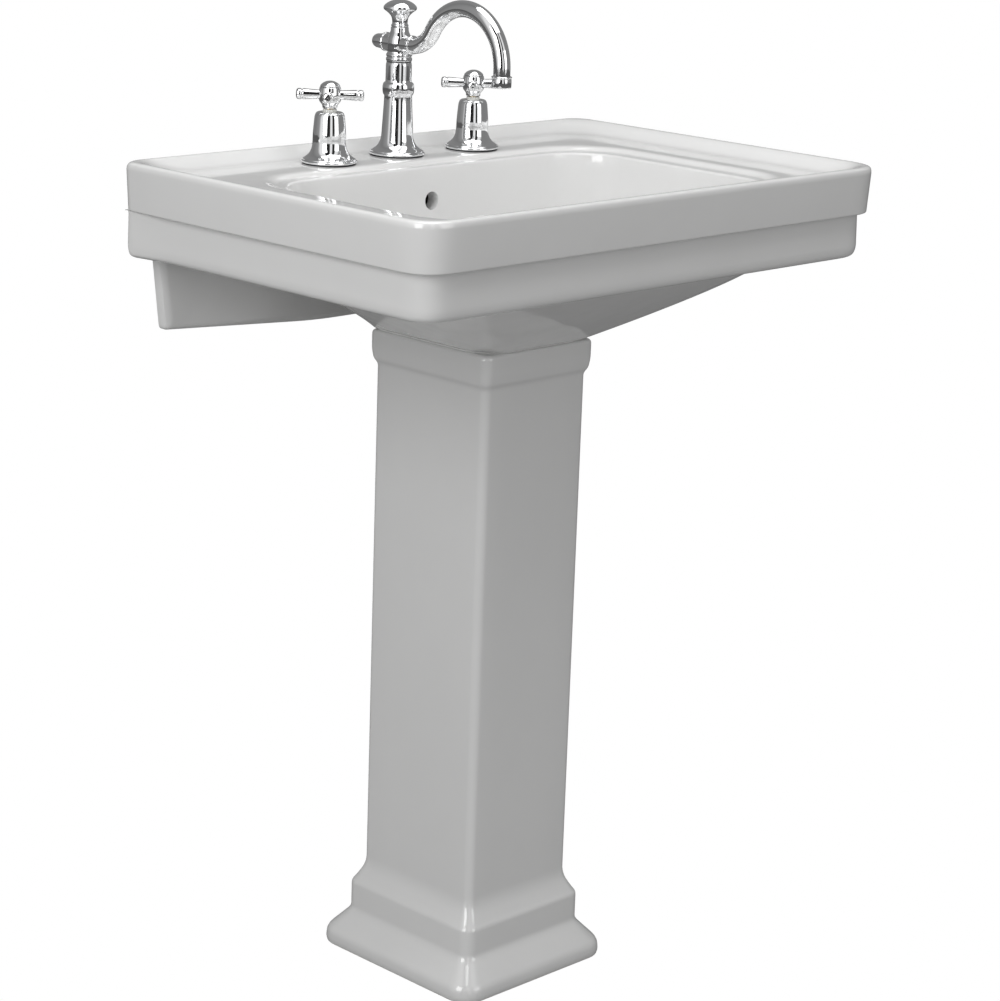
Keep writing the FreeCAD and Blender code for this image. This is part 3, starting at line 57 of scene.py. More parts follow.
eye.matrix_world = Matrix([[*row, 0] for row in np.column_stack([across, upward, -ahead])] + [[0, 0, 0, 1]])
eye.location = (-1.9757, -1.96, 1.2696)
bpy.context.scene.collection.objects.link(eye)
bpy.context.scene.camera = eye


# ------------------------------------------------------------ pedestal
# One hollow casting of vitreous china, glazed white all over but for the rim it stands on. The back is open
# for the pipes. It has a capital under the basin and a moulded foot.
def softened(keys, reach, steps=6, closed=True):
    """Rounds a run of key rows. Round each row a quadratic curve leaves the leg before it and joins the leg after
    it, both at the reach from the row (in millimetres, over the first and last columns), or at half the leg."""
    keys, reach = np.asarray(keys, float), np.asarray(reach, float)[:, None]
    before, after = np.roll(keys, 1, 0), np.roll(keys, -1, 0)
    if not closed:
        before[0], after[-1] = keys[0], keys[-1]
    legs = [np.hypot(side[:, :1] - keys[:, :1], side[:, -1:] - keys[:, -1:]) for side in (before, after)]
    cuts = [keys + (side - keys) * np.minimum(0.5, reach / np.maximum(leg, 1e-9))
            for side, leg in zip((before, after), legs)]
    t = np.linspace(0, 1, steps)[None, :, None]
    curves = (1 - t) ** 2 * cuts[0][:, None] + 2 * t * (1 - t) * keys[:, None] + t ** 2 * cuts[1][:, None]
    return curves.reshape(-1, keys.shape[1])


def skinned(points, wrap=(False, False), ends=False):
    """Vertices and faces of a grid of points, row by row. A wrapped grid joins its last row or column to its first;
    ends puts a flat face on the first and the last column."""
    rows, columns = points.shape[:2]
    order = np.arange(rows * columns).reshape(rows, columns)
    if wrap[0]:
        order = np.vstack([order, order[:1]])
    if wrap[1]:
        order = np.hstack([order, order[:, :1]])
    quads = np.stack([order[:-1, :-1], order[:-1, 1:], order[1:, 1:], order[1:, :-1]], -1).reshape(-1, 4).tolist()
    if ends:
        quads += [order[:-1, 0].tolist(), order[:-1, -1].tolist()]
    return points.reshape(-1, 3), quads


def piece(name, shells, body, replaced, finish, crease=32):
    """One named piece from closed shells given in millimetres: equal points are merged, faces turned outwards and
    shaded smooth but for creases sharper than the angle; then it rides on its body."""
    mesh = bpy.data.meshes.new(name)
    starts = np.cumsum([0] + [len(points) for points, faces in shells])
    faces = [[start + corner for corner in face] for start, (points, faces) in zip(starts, shells) for face in faces]
    mesh.from_pydata(np.vstack([points for points, faces in shells]) / 1000, [], faces)
    work = bmesh.new()
    work.from_mesh(mesh)
    bmesh.ops.remove_doubles(work, verts=work.verts, dist=2e-6)
    bmesh.ops.dissolve_degenerate(work, edges=work.edges, dist=1e-6)
    bmesh.ops.recalc_face_normals(work, faces=work.faces)
    work.to_mesh(mesh)
    work.free()
    mesh.shade_smooth()
    mesh.set_sharp_from_angle(angle=math.radians(crease))
    made = bpy.data.objects.new(name, mesh)
    bpy.context.scene.collection.objects.link(made)
    made.data.materials.append(finish)
    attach(made, body)
    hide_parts(*replaced)
    return made


def corner_rings(rows, far_steps=6, near_steps=14, run=5, ease=2.0):
    """Level rounded rectangles from rows of (half width, front, back, near corner, far corner, height). A corner
    point is the corner's centre plus its radius times (cos a, sin a) over a quarter turn; straight runs join the
    corners. With an ease above 2 the near corners are superellipses, which start half as far again from the corner
    and turn in more softly: their cosines and sines are raised to 2 / ease."""
    half, front, back, near, far, height = np.asarray(rows, float).T[:, :, None]
    near = near * (1.5 if ease > 2 else 1)
    parts = []
    for right, behind, begin in ((-1, 1, 90), (-1, -1, 180), (1, -1, 270), (1, 1, 0)):
        radius = far if behind > 0 else near
        angle = np.radians(begin + np.linspace(0, 90, far_steps if behind > 0 else near_steps))
        power = 2 / ease if behind < 0 else 1
        cosine = np.sign(np.cos(angle)) * np.abs(np.cos(angle)) ** power
        sine = np.sign(np.sin(angle)) * np.abs(np.sin(angle)) ** power
        x = right * (half - radius) + radius * cosine
        y = (back - radius if behind > 0 else radius - front) + radius * sine
        parts.append(np.stack([x, y, np.broadcast_to(height, x.shape)], -1))
    joined = []
    for index, part in enumerate(parts):
        share = np.linspace(0, 1, run + 1, endpoint=False)[1:, None]
        start, end = part[:, -1:], parts[(index + 1) % 4][:, :1]
        joined += [part, start + (end - start) * share]
    return np.concatenate(joined, axis=1)


class Value:
    """A socket in a finish. + and * between sockets and numbers, and a number less a socket, add Math nodes."""

    def __init__(self, finish, socket):
        self.finish, self.socket = finish, socket

    def maths(self, operation, first, second):
        return self.finish.node("ShaderNodeMath", {0: first, 1: second}, operation=operation)

    def __add__(self, other):
        return self.maths("ADD", self, other)

    def __rsub__(self, other):
        return self.maths("SUBTRACT", other, self)

    def __mul__(self, other):
        return self.maths("MULTIPLY", self, other)

    __radd__, __rmul__ = __add__, __mul__


class Finish:
    """A material round one Principled shader. Constant looks go straight on the shader's sockets."""

    def __init__(self, name, **constants):
        self.material = bpy.data.materials.new(name)
        self.material.use_nodes = True
        self.tree = self.material.node_tree
        self.shader = self.tree.nodes["Principled BSDF"]
        self.place = self.node("ShaderNodeTexCoord", {}, "Object")
        for socket, value in constants.items():
            self.shader.inputs[socket.replace("_", " ")].default_value = value

    def node(self, kind, sockets, output=0, **settings):
        """Adds a node: its settings first, then each socket's value or link; gives back one of its outputs."""
        made = self.tree.nodes.new(kind)
        for setting, value in settings.items():
            setattr(made, setting, value)
        for socket, value in sockets.items():
            if isinstance(value, Value):
                self.tree.links.new(value.socket, made.inputs[socket])
            else:
                made.inputs[socket].default_value = value
        return Value(self, made.outputs[output])

    def noise(self, scale, detail=2.0):
        return self.node("ShaderNodeTexNoise", {"Vector": self.place, "Scale": scale, "Detail": detail}, "Fac")

    def mixed(self, share, first, second):
        """A colour between two others."""
        return self.node("ShaderNodeMix", {"Factor": share, 6: first, 7: second}, 2, data_type="RGBA")

    def step(self, value, low, high):
        """0 below low, 1 above high and straight in between."""
        return self.node("ShaderNodeMapRange", {"Value": value, "From Min": low, "From Max": high})

    def set(self, **values):
        for socket, value in values.items():
            self.tree.links.new(value.socket, self.shader.inputs[socket.replace("_", " ")])
        return self

    def relief(self, height, depth):
        """A bump in metres on the shader's normal."""
        return self.set(Normal=self.node("ShaderNodeBump", {"Height": height, "Distance": depth, "Strength": 1.0}))


def china(name, bare_axis, bare_low, bare_high):
    """Glazed vitreous china. Glaze pools unevenly, so its white drifts and its surface rolls very slightly; the
    face beyond the given plane is the bare body, warmer and matt."""
    finish = Finish(name, Coat_Roughness=0.03, IOR=1.52)
    spot = finish.node("ShaderNodeSeparateXYZ", {0: finish.place}, bare_axis)
    bare = finish.step(spot, bare_low, bare_high)
    cloud, grain = finish.noise(7.0, 3.0), finish.noise(650.0)
    white = finish.mixed(cloud, (0.83, 0.83, 0.825, 1), (0.79, 0.79, 0.785, 1))
    body = finish.mixed(grain, (0.62, 0.57, 0.49, 1), (0.70, 0.66, 0.58, 1))
    finish.set(Base_Color=finish.mixed(bare, white, body))
    finish.set(Roughness=finish.noise(16.0) * 0.05 + 0.07 + bare * 0.7)
    finish.set(Coat_Weight=(1 - bare) * 0.6)
    finish.relief(finish.noise(22.0, 1.0) * 1.0 + finish.noise(160.0, 1.0) * 0.05 + bare * grain * 0.3, 0.0006)
    return finish.material


foot_glaze = china("pedestal_china", "Z", 0.0016, 0.0008)
column_half, column_front, column_back = 73.5, 46, 119
pedestal_keys = [  # overhang past the column, corner radius, height, rounding
    (24, 18, 0, 1.5), (34, 26, 0, 2), (35, 26, 5, 3), (34.2, 26, 15, 5), (15, 17, 36.5, 5), (12.5, 14, 41, 3),
    (12.5, 14, 70, 3), (8.5, 12, 75.5, 4), (2.2, 10, 87, 5), (0, 9, 96, 5), (0, 9, 648, 3), (3.4, 9.5, 653.5, 2.5),
    (5, 10, 663, 5), (5, 10, 681.5, 2.4), (2.5, 9, 684, 2), (-10, 5, 684, 2), (-12, 4.5, 681, 3),
    (-12, 4.5, 96, 5), (0.5, 6, 68, 5), (0.5, 6, 43, 5), (17, 16, 14, 5), (23, 18, 4, 2)]
pedestal_keys = np.array(pedestal_keys, float)
rounded = softened(pedestal_keys[:, :3], pedestal_keys[:, 3], steps=6)
overhang, corner, height = rounded.T
rings = corner_rings(np.column_stack([column_half + overhang, column_front + overhang, column_back + overhang,
                                      corner, corner, height]), far_steps=10, near_steps=10, run=4)
jamb = 52
left = np.stack([np.full_like(height, -jamb), column_back + overhang, height], -1)[:, None]
right = left * [-1, 1, 1]
walls = np.concatenate([left, rings[:, :-4], right], axis=1)
piece("pedestal_casting", [skinned(walls, wrap=(True, False), ends=True)], "sink", ["pedestal"],
      foot_glaze)

# ------------------------------------------------------------ basin
# One casting of vitreous china. A raised lip runs round the sunken deck, which dips again to the bowl; under the
# rim is a narrower band, and a plate at the back carries the wall bolts. Its back is left unglazed.
def drilled(made, holes):
    """Cuts round holes along Y out of a piece, each (x, height, radius, from y, to y) in millimetres."""
    for x, z, radius, start, end in holes:
        shape = bmesh.new()
        bmesh.ops.create_cone(shape, cap_ends=True, segments=40, radius1=radius / 1000, radius2=radius / 1000,
                              depth=(end - start) / 1000, matrix=Matrix.Translation(
                                  (x / 1000, (start + end) / 2000, z / 1000)) @ Matrix.Rotation(math.pi / 2, 4, "X"))
        tool = bpy.data.objects.new("drill", bpy.data.meshes.new("drill"))
        shape.to_mesh(tool.data)
        shape.free()
        bpy.context.scene.collection.objects.link(tool)
        cut = made.modifiers.new("hole", "BOOLEAN")
        cut.operation, cut.solver, cut.object = "DIFFERENCE", "EXACT", tool
        bpy.context.view_layer.update()
        bored = bpy.data.meshes.new_from_object(made.evaluated_get(bpy.context.evaluated_depsgraph_get()))
        made.modifiers.clear()
        made.data = bored
        bpy.data.objects.remove(tool)
    made.data.shade_smooth()
    made.data.set_sharp_from_angle(angle=math.radians(32))


# The bowl's wall goes down a quarter sine. Below 772 mm it draws in with a power of the share of the way down, and
# the square root makes it level where it lands on the floor.
bowl_top, bowl_depth, draw_in_from, draw_in_over = 845, 138, 772, 65
drop = np.sin(np.linspace(0, 1, 30) * np.pi / 2)
share = np.clip((draw_in_from - (bowl_top - bowl_depth * drop)) / draw_in_over, 0, 1)
landing = 0.28 * (1 - np.sqrt(1 - share))
bowl_rows = np.column_stack([
    226 - 8 * drop - 132 * (0.72 * share ** 1.25 + landing), 167 - 7 * drop - 104 * (0.72 * share ** 1.25 + landing),
    118 - 6 * drop - 40 * (0.72 * share ** 2 + landing), 57 - 15 * share, 57 - 15 * share,
    bowl_top - bowl_depth * drop])[::-1][:-1]
floor_rows = softened([
    (22.5, 7.5, 37.5, 22.5, 22.5, 684), (22.5, 7.5, 37.5, 22.5, 22.5, 704), (26, 11, 41, 26, 26, 706),
    (50, 30, 54, 34, 34, 706.3), (74, 50, 68, 42, 42, 706.8)], [1, 2, 3, 12, 8], steps=5, closed=False)
top_keys = np.array([  # half, front, back, near corner, far corner, height, rounding
    (226, 167, 118, 57, 57, 842, 2), (226.6, 167.6, 118.6, 57.6, 57.6, 846.4, 3.6), (233, 171, 124, 62, 62, 847, 3),
    (240, 175, 128.5, 66, 66, 847.3, 3), (247, 180, 133, 70, 70, 851.5, 3.5), (256, 187, 150, 66, 68, 852, 6),
    (297, 194, 199, 34, 56, 852.4, 7), (306, 202, 206.5, 33, 40, 857.5, 5), (312.5, 207.5, 212, 32, 32, 863, 4),
    (318, 213, 215.5, 31, 24, 865, 3), (323.5, 218.5, 219, 32, 18, 864.2, 3), (325, 220, 220, 33, 16, 859.5, 3),
    (322.2, 217.2, 220, 30, 15, 817, 1.2), (320.5, 215.5, 220, 29, 15, 816, 0.8), (314.5, 209.5, 220, 25, 15, 816, 1),
    (313.8, 208.8, 220, 24, 15, 814, 1.2), (314.8, 209.8, 220, 25, 15, 780, 4), (312.8, 207.8, 220, 24, 15, 772, 4),
    (306, 201, 220, 20, 13, 769, 3), (300, 195, 207, 17, 6, 769, 2), (297, 192, 206, 16, 5, 772, 3),
    (300.5, 195.5, 206, 18, 5, 831, 5), (294, 190, 202, 18, 6, 838, 5), (244, 190, 142, 82, 46, 838, 6),
    (232, 186, 132.5, 88, 44, 830, 6)])
rim_rows = softened(top_keys[:, :6], top_keys[:, 6], steps=7, closed=False)
sink_share = np.linspace(0, 1, 22)[:, None]
closing = sink_share ** 1.15
shell_rows = np.hstack([231 - 146 * closing, 186 - 128 * closing, 132 - 8 * closing, 88 - 50 * closing,
                        44 - 20 * closing + 120 * closing * (1 - closing), 769 - 81 * sink_share])
seat_rows = softened([
    (83, 57, 123, 38, 24, 687.4), (77, 51, 123, 36, 20, 687), (77, 49.5, 122.5, 36, 18, 684),
    (30, 20, 45, 20, 20, 684)], [1.5, 2.5, 1, 1], steps=5, closed=False)
inner = corner_rings(np.vstack([floor_rows, bowl_rows]), near_steps=18, far_steps=12, run=7)
outer = corner_rings(rim_rows, near_steps=18, far_steps=12, run=7, ease=3.0)
below = corner_rings(np.vstack([shell_rows, seat_rows]), near_steps=18, far_steps=12, run=7)
# The soft corners fade into plain quarter circles towards the bowl, from a half width of 286 mm to one of 226 mm.
blend = np.clip((rim_rows[:, 0] - 226) / 60, 0, 1)[:, None, None]
outer = outer * blend + corner_rings(rim_rows, near_steps=18, far_steps=12, run=7) * (1 - blend)
# Towards the wall the band widens by up to 8 mm along a smooth step, never past the rim's foot.
band_middle, band_reach, widened, rim_foot = 792, 24.2, 8, 320.4
sideways, back, height = np.abs(outer[..., 0]), outer[..., 1], outer[..., 2]
on_band = (np.abs(height - band_middle) < band_reach) & (np.abs(sideways - 309) < 7) & (back > 150)
flare = np.clip((back - 175) / 30, 0, 1)
pushed = np.minimum(sideways + widened * flare ** 2 * (3 - 2 * flare), rim_foot)
outer[..., 0] = np.where(on_band, np.sign(outer[..., 0]) * pushed, outer[..., 0])
casting = np.vstack([inner, outer, below])
half_plate = np.array([(-286, 788), (-286, 769), (-277, 691), (-73.5, 677)])
plate = softened(np.vstack([half_plate, half_plate[::-1] * (-1, 1)]), [1, 8, 5, 30, 30, 5, 8, 1], steps=6)
middle = plate.mean(0)
loops = []
for inset, back in ((9, 206), (4.5, 206.8), (1.5, 209), (0, 213), (0, 219), (1, 219.8)):
    shrunk = middle + (plate - middle) * (1 - np.array([inset / 286, inset / 60]))
    loops.append(np.column_stack([shrunk[:, 0], np.full(len(shrunk), back), shrunk[:, 1]]))
plate_points, plate_faces = skinned(np.stack(loops), wrap=(False, True))
plate_faces += [list(range(len(plate))), list(range(5 * len(plate), 6 * len(plate)))]
wall_glaze = china("basin_china", "Y", 0.2194, 0.2198)
basin = piece("basin_casting", [skinned(casting, wrap=(True, True))], "sink", ["basin"], wall_glaze)
piece("basin_wall_plate", [(plate_points, plate_faces)], "sink", ["basin"], wall_glaze)
overflow_height, bolt_height, bolt_side = 811, 800, 127
drilled(basin, [(0, overflow_height, 9.5, 95, 138)] + [
    (side * bolt_side, bolt_height, 6.5, 190, 230) for side in (-1, 1)])


# ------------------------------------------------------------ polished chrome and the valves' bell covers
# Each valve is hidden by a spun brass bell, nickel and chrome plated, that flares out to a stepped foot.
def turned(keys, place, axis="Z", steps=72):
    """A turned shell: key rows of (radius, height, rounding), softened and carried round the axis. Each point is
    the place plus radius times (cos a, sin a) across the axis plus the height along it."""
    keys = np.asarray(keys, float)
    outline = softened(keys[:, :2], keys[:, 2], steps=5)
    angle = np.linspace(0, 2 * np.pi, steps, endpoint=False)
    round_x, round_y = outline[:, :1] * np.cos(angle), outline[:, :1] * np.sin(angle)
    along = np.broadcast_to(outline[:, 1:], round_x.shape)
    ordered = {"Z": (round_x, round_y, along), "Y": (round_y, along, round_x), "X": (along, round_x, round_y)}[axis]
    return skinned(np.stack(ordered, -1) + np.asarray(place, float), wrap=(True, True))


def chrome():
    """Chrome plate over polished brass: a mirror with a faint haze that drifts, and a very slight polisher's wave."""
    finish = Finish("polished_chrome", Metallic=1.0, Specular_IOR_Level=0.6)
    haze = finish.noise(40.0, 3.0)
    finish.set(Base_Color=finish.mixed(haze, (0.90, 0.905, 0.91, 1), (0.84, 0.845, 0.855, 1)))
    finish.set(Roughness=haze * 0.05 + 0.03)
    finish.relief(finish.noise(60.0, 1.0), 0.00003)
    return finish.material


plated = chrome()
deck, handle_back = 852, 164
for side, sign in (("hot", -1), ("cold", 1)):
    home = (sign * 101.6, handle_back, deck)
    piece(f"{side}_bell", [turned([
        (12.6, 1.5, 0.3), (28.4, 1.5, 0.3), (29, 2.1, 0.5), (29, 3.5, 0.6), (27.6, 4.3, 0.5), (27.3, 5.3, 0.3),
        (26.2, 5.9, 0.6), (21.5, 9, 4), (18.4, 14, 4), (17.1, 20, 4), (17, 30, 5), (15.9, 43, 4), (15.3, 49, 2.5),
        (13.6, 52.4, 1.8), (8.6, 53, 0.4), (7.4, 52.6, 0.4), (7.4, 50.6, 0.3), (12.6, 46, 2)], home)], "sink",
        [f"{side}_escutcheon"], plated)

# ------------------------------------------------------------ overflow hole's painted shade
# Behind the overflow hole a short cup is set into the bowl's back wall. Its near-black colour is painted shade, so
# the hole looks dark; its surface is rough.
painted_shade = Finish("overflow_painted_shade", Specular_IOR_Level=0.2)
shade_grain = painted_shade.noise(300.0)
# Near-black base colour: painted shade for the inside of the overflow hole.
painted_shade.set(Base_Color=painted_shade.mixed(shade_grain, (0.012, 0.011, 0.010, 1), (0.03, 0.028, 0.025, 1)))
painted_shade.set(Roughness=shade_grain * 0.2 + 0.7)
painted_shade.relief(shade_grain, 0.0004)
piece("overflow_shade_cup", [turned([(10.4, 121, 0.2), (12.5, 121, 0.4), (12.5, 150, 2), (0.4, 150, 0.1),
                                   (0.4, 148, 0.1), (10.4, 148, 2)], (0, 0, overflow_height), axis="Y")], "sink",
      ["basin"], painted_shade.material)

# ------------------------------------------------------------ cross handles
# A cast hub with four turned arms, each swelling to a grooved, rounded end, plated like the bells. A domed cap
# snaps into the hub over the screw.
for side, sign in (("hot", -1), ("cold", 1)):
    home = (sign * 101.6, handle_back, deck)
    hub = turned([
        (4, 56.5, 0.2), (7.2, 56.5, 0.4), (7.6, 57, 0.4), (7.6, 58.6, 0.6), (8.4, 60.4, 1.4), (10.9, 63.2, 1.6),
        (11.3, 66, 2), (11.5, 70, 3), (11.2, 74, 3), (10.9, 77, 0.8), (10.3, 78, 0.5), (9, 78, 0.3), (9, 75, 0.3),
        (4, 75, 0.3)], home)
    arm_keys = [(0, 8, 0.1), (4.7, 8, 0.2), (4.6, 12, 2), (4.9, 17, 3), (5.5, 26, 2), (5.5, 27.4, 0.3),
                (4.8, 27.9, 0.25), (4.8, 29.1, 0.25), (5.6, 29.7, 0.4), (5.7, 31.8, 1), (5.1, 33.7, 0.9),
                (3.2, 34.5, 0.8), (0, 34.5, 0.3)]
    arm_points, arm_faces = turned(arm_keys, (0, 0, 70), axis="X", steps=40)
    arms = []
    for quarter in range(4):
        swing = math.radians(45 + 90 * quarter)
        spun = arm_points @ np.array([[math.cos(swing), math.sin(swing), 0], [-math.sin(swing), math.cos(swing), 0],
                                      [0, 0, 1]])
        arms.append((spun + home, arm_faces))
    piece(f"{side}_cross", [hub, *arms], f"{side}_handle", [f"{side}_cross_handle"], plated)
    piece(f"{side}_cap", [turned([
        (0, 78.6, 0.2), (7.6, 78.6, 0.3), (7.6, 76, 0.2), (8.9, 76, 0.2), (8.9, 78.1, 0.2), (10.2, 78.3, 0.5),
        (10.1, 79.3, 0.7), (8.8, 80.8, 1), (6.5, 82.6, 2), (3, 83.9, 2), (0, 84, 0.2)], home)], f"{side}_handle",
        [f"{side}_handle_cap"], plated)

# ------------------------------------------------------------ spout column
# A turned brass column with a stepped foot and a bead below its sleeve; its shank goes down through the deck.
spout_home = (0, 172, deck)
piece("column", [turned([
    (3.5, -80, 0.2), (9.8, -80, 0.5), (10.45, -79, 0.5), (10.45, 1.5, 0.2), (28.8, 1.5, 0.3), (29.5, 2.1, 0.5),
    (29.5, 3.5, 0.6), (28, 4.3, 0.5), (27.7, 5.3, 0.3), (26.4, 5.9, 0.6), (21, 9.4, 4), (18, 14.5, 4), (16.7, 20, 3),
    (15.9, 34, 6), (14.8, 54, 5), (14.5, 62.2, 1), (15.2, 62.9, 0.4), (15.9, 64.2, 0.7), (16.5, 67, 1.6),
    (16.5, 72, 1.6), (15.9, 74.6, 0.7), (15, 75.6, 0.4), (13.9, 76.2, 0.5), (13.6, 78, 0.8), (13.5, 94.6, 0.8),
    (13, 96.6, 0.4), (12.2, 97, 0.3), (9, 97, 0.2), (9, 109.2, 0.3), (2.55, 109.2, 0.2), (2.55, 97, 0.2),
    (3.5, 95, 0.2)], spout_home)], "sink", ["spout_column"], plated)

# ------------------------------------------------------------ swivelling hub, button and spout
# The hub is a cross of two turned barrels that swivels on the column. The spout is a bent tube pushed into its
# front; the rear end is closed by a button. A short housing holds the aerator.
axle = (0, 172, deck + 116)
upright_part = turned([
    (9.05, 98.2, 0.2), (12.9, 98.2, 0.3), (13.6, 98.8, 0.4), (13.6, 101.2, 0.5), (12.7, 101.9, 0.4),
    (12.7, 102.5, 0.3),
    (13.5, 103.2, 0.4), (13.5, 105, 0.7), (12.3, 106.6, 0.7), (12.3, 110, 2), (13, 116, 4), (12.4, 122, 3),
    (10.6, 126.2, 2), (9.6, 128.4, 1), (9.3, 130, 0.8), (9.3, 132.4, 0.4), (8.8, 133, 0.2), (3.5, 133, 0.2),
    (3.5, 110, 0.2), (9.05, 110, 0.2)], spout_home)
cross_part = turned([
    (6.8, -21.5, 0.2), (9.1, -21.5, 0.3), (9.9, -20.8, 0.4), (9.9, -18.8, 0.4), (9.2, -18, 0.4), (9.3, -10, 2),
    (9.3, 10, 2), (9.2, 18, 0.4), (9.9, 18.8, 0.4), (9.9, 20.8, 0.4), (9.1, 21.5, 0.3), (4, 21.5, 0.2),
    (4, 14, 0.2), (6.8, 14, 0.2)], axle, axis="Y")
piece("hub", [upright_part, cross_part], "spout", ["spout_hub"], plated)
piece("button", [turned([
    (0, 14, 0.1), (3.9, 14, 0.2), (3.9, 21.6, 0.2), (6.4, 21.6, 0.3), (7.4, 22.4, 0.5), (7.7, 24, 0.8),
    (7.7, 28, 1.5),
    (7.2, 33.6, 1.5), (5.6, 36.6, 1.5), (3, 37.9, 1.4), (0, 38, 0.2)], axle, axis="Y")], "spout", ["rear_button"],
    plated)


def bent_tube(runs, outer, inner, steps=40):
    """A tube along level and upright runs and arcs in the plane X = 0. Each run is arrays of distance forward,
    height and heading; a point is the line's point plus radius times (cos a across, sin a square to the heading).
    The skin goes out along the outside and comes back along the bore."""
    forward, height, heading = np.concatenate(runs, axis=1)
    forward, height, heading = (np.concatenate([row, row[::-1]])[:, None] for row in (forward, height, heading))
    radius = np.repeat([outer, inner], len(forward) // 2)[:, None]
    angle = np.linspace(0, 2 * np.pi, steps, endpoint=False)
    x = radius * np.cos(angle)
    out = forward - radius * np.sin(angle) * np.sin(heading)
    up = height + radius * np.sin(angle) * np.cos(heading)
    return skinned(np.stack([x, -out, up], -1) + [0, 172, deck], wrap=(True, True))


bend, arch = np.linspace(-90, -30, 20), np.linspace(150, 0, 56)
rise, fall = np.radians(bend), np.radians(arch)
spout_runs = [
    np.array([[16.5, 116, 0], [18.6, 116, 0]]).T,
    np.array([20.79 + 33 * np.cos(rise), 149 + 33 * np.sin(rise), rise + np.pi / 2]),
    np.array([97 + 55 * np.cos(fall), 105 + 55 * np.sin(fall), fall - np.pi / 2])[:, 1:],
    np.array([[152, 99, -np.pi / 2], [152, 93, -np.pi / 2]]).T]
piece("spout_pipe", [bent_tube(spout_runs, 8.6, 6.8)], "spout", ["spout_tube"], plated)
mouth = (0, 20, deck)
piece("aerator_shell", [turned([
    (7.6, 86, 0.2), (9.2, 86, 0.3), (10, 86.8, 0.5), (10.1, 91, 1), (10, 95.4, 0.4), (9.7, 95.8, 0.2),
    (9.9, 96.3, 0.3),
    (10.5, 96.7, 0.3), (10.5, 97.3, 0.3), (9.8, 97.9, 0.3), (8.65, 98, 0.1), (8.65, 93, 0.1),
    (7.6, 93, 0.1)], mouth)],
    "spout", ["aerator_housing"], plated)

# ------------------------------------------------------------ lift knob
# A turned mushroom knob screwed to the lift rod; raising it shuts the waste.
piece("knob", [turned([
    (2.5, 133.3, 0.1), (8.5, 133.3, 0.3), (9, 133.9, 0.3), (9, 135.2, 0.4), (8.1, 136.2, 0.5), (8, 139.5, 2),
    (9, 144, 3), (13.4, 148.4, 3), (16.8, 150.6, 1.3), (17.5, 152.3, 0.9), (17.1, 154.2, 1.2), (14, 157.4, 2.5),
    (8, 160.4, 3), (0, 161, 0.3), (0, 142, 0.1), (2.5, 142, 0.1)], spout_home)], "lift", ["lift_knob"],
    plated)

# ------------------------------------------------------------ pop-up waste
# A flanged outlet with a domed stopper on a stem; under the basin a turned body takes the pivot rod's ball.
drain = (0, 15, 0)
piece("outlet_flange", [turned([
    (15.6, 660, 0.3), (17.5, 660, 0.3), (17.5, 707.5, 0.2), (30.6, 707.5, 0.2), (31, 707.9, 0.3), (30.4, 708.7, 0.6),
    (25, 710.2, 4), (21, 710.5, 1), (19.2, 709.2, 0.8), (16.8, 708.7, 0.6), (15.6, 707.6, 0.5)], drain)], "sink",
    ["waste_flange"], plated)
stem = turned([(0, 634, 0.1), (4.2, 634, 0.3), (5.2, 636, 0.6), (5.2, 712, 0.3), (12.6, 712, 0.3), (12.6, 716.9, 0.2),
               (18.8, 716.9, 0.3), (19, 718.3, 0.6), (18, 719.6, 1), (12, 722, 4), (5, 723.2, 3),
               (0, 723.3, 0.2)], drain)
piece("stopper_plug", [stem], "stopper", ["stopper"], plated)

# ------------------------------------------------------------ parts kept as they are cast or cut
# Valve bodies, nuts and tee are machined brass; supply tubes are copper; washers and seals are rubber or
# nylon; the linkage is stainless. Only their finish is added here.
def metal(name, light, dark, haze, scale):
    """A machined metal: fine turning marks in its roughness and a tarnish that drifts over it."""
    finish = Finish(name, Metallic=1.0)
    drift = finish.noise(scale, 4.0)
    finish.set(Base_Color=finish.mixed(drift, light, dark))
    finish.set(Roughness=finish.noise(900.0) * 0.12 + haze)
    finish.relief(finish.noise(1400.0, 1.0), 0.00003)
    return finish.material


def moulded(name, light, dark, gloss, grain):
    """Rubber or nylon: a flat colour broken by cloudiness, with a fine moulded grain."""
    finish = Finish(name, IOR=1.5)
    finish.set(Base_Color=finish.mixed(finish.noise(60.0, 3.0), light, dark))
    finish.set(Roughness=finish.noise(300.0) * 0.15 + gloss)
    finish.relief(finish.noise(grain, 2.0), 0.00006)
    return finish.material


finishes = {
    "polished_chrome": plated,
    "vitreous_china": wall_glaze,
    "brass": metal("machined_brass", (0.80, 0.62, 0.32, 1), (0.62, 0.46, 0.22, 1), 0.22, 70.0),
    "copper": metal("copper_tube", (0.83, 0.48, 0.34, 1), (0.62, 0.33, 0.22, 1), 0.2, 50.0),
    "stainless_steel": metal("stainless_steel", (0.66, 0.66, 0.67, 1), (0.54, 0.54, 0.55, 1), 0.28, 90.0),
    "rubber": moulded("black_rubber", (0.035, 0.035, 0.037, 1), (0.02, 0.02, 0.02, 1), 0.6, 800.0),
    "white_plastic": moulded("white_nylon", (0.78, 0.78, 0.75, 1), (0.70, 0.70, 0.66, 1), 0.35, 500.0)}
slots = {entry["node"]: entry["material_slot"] for entry in frame["record"]["subparts"]}
for name, part in frame["nodes"].items():
    part.data.materials.clear()
    part.data.materials.append(finishes[slots[name]])

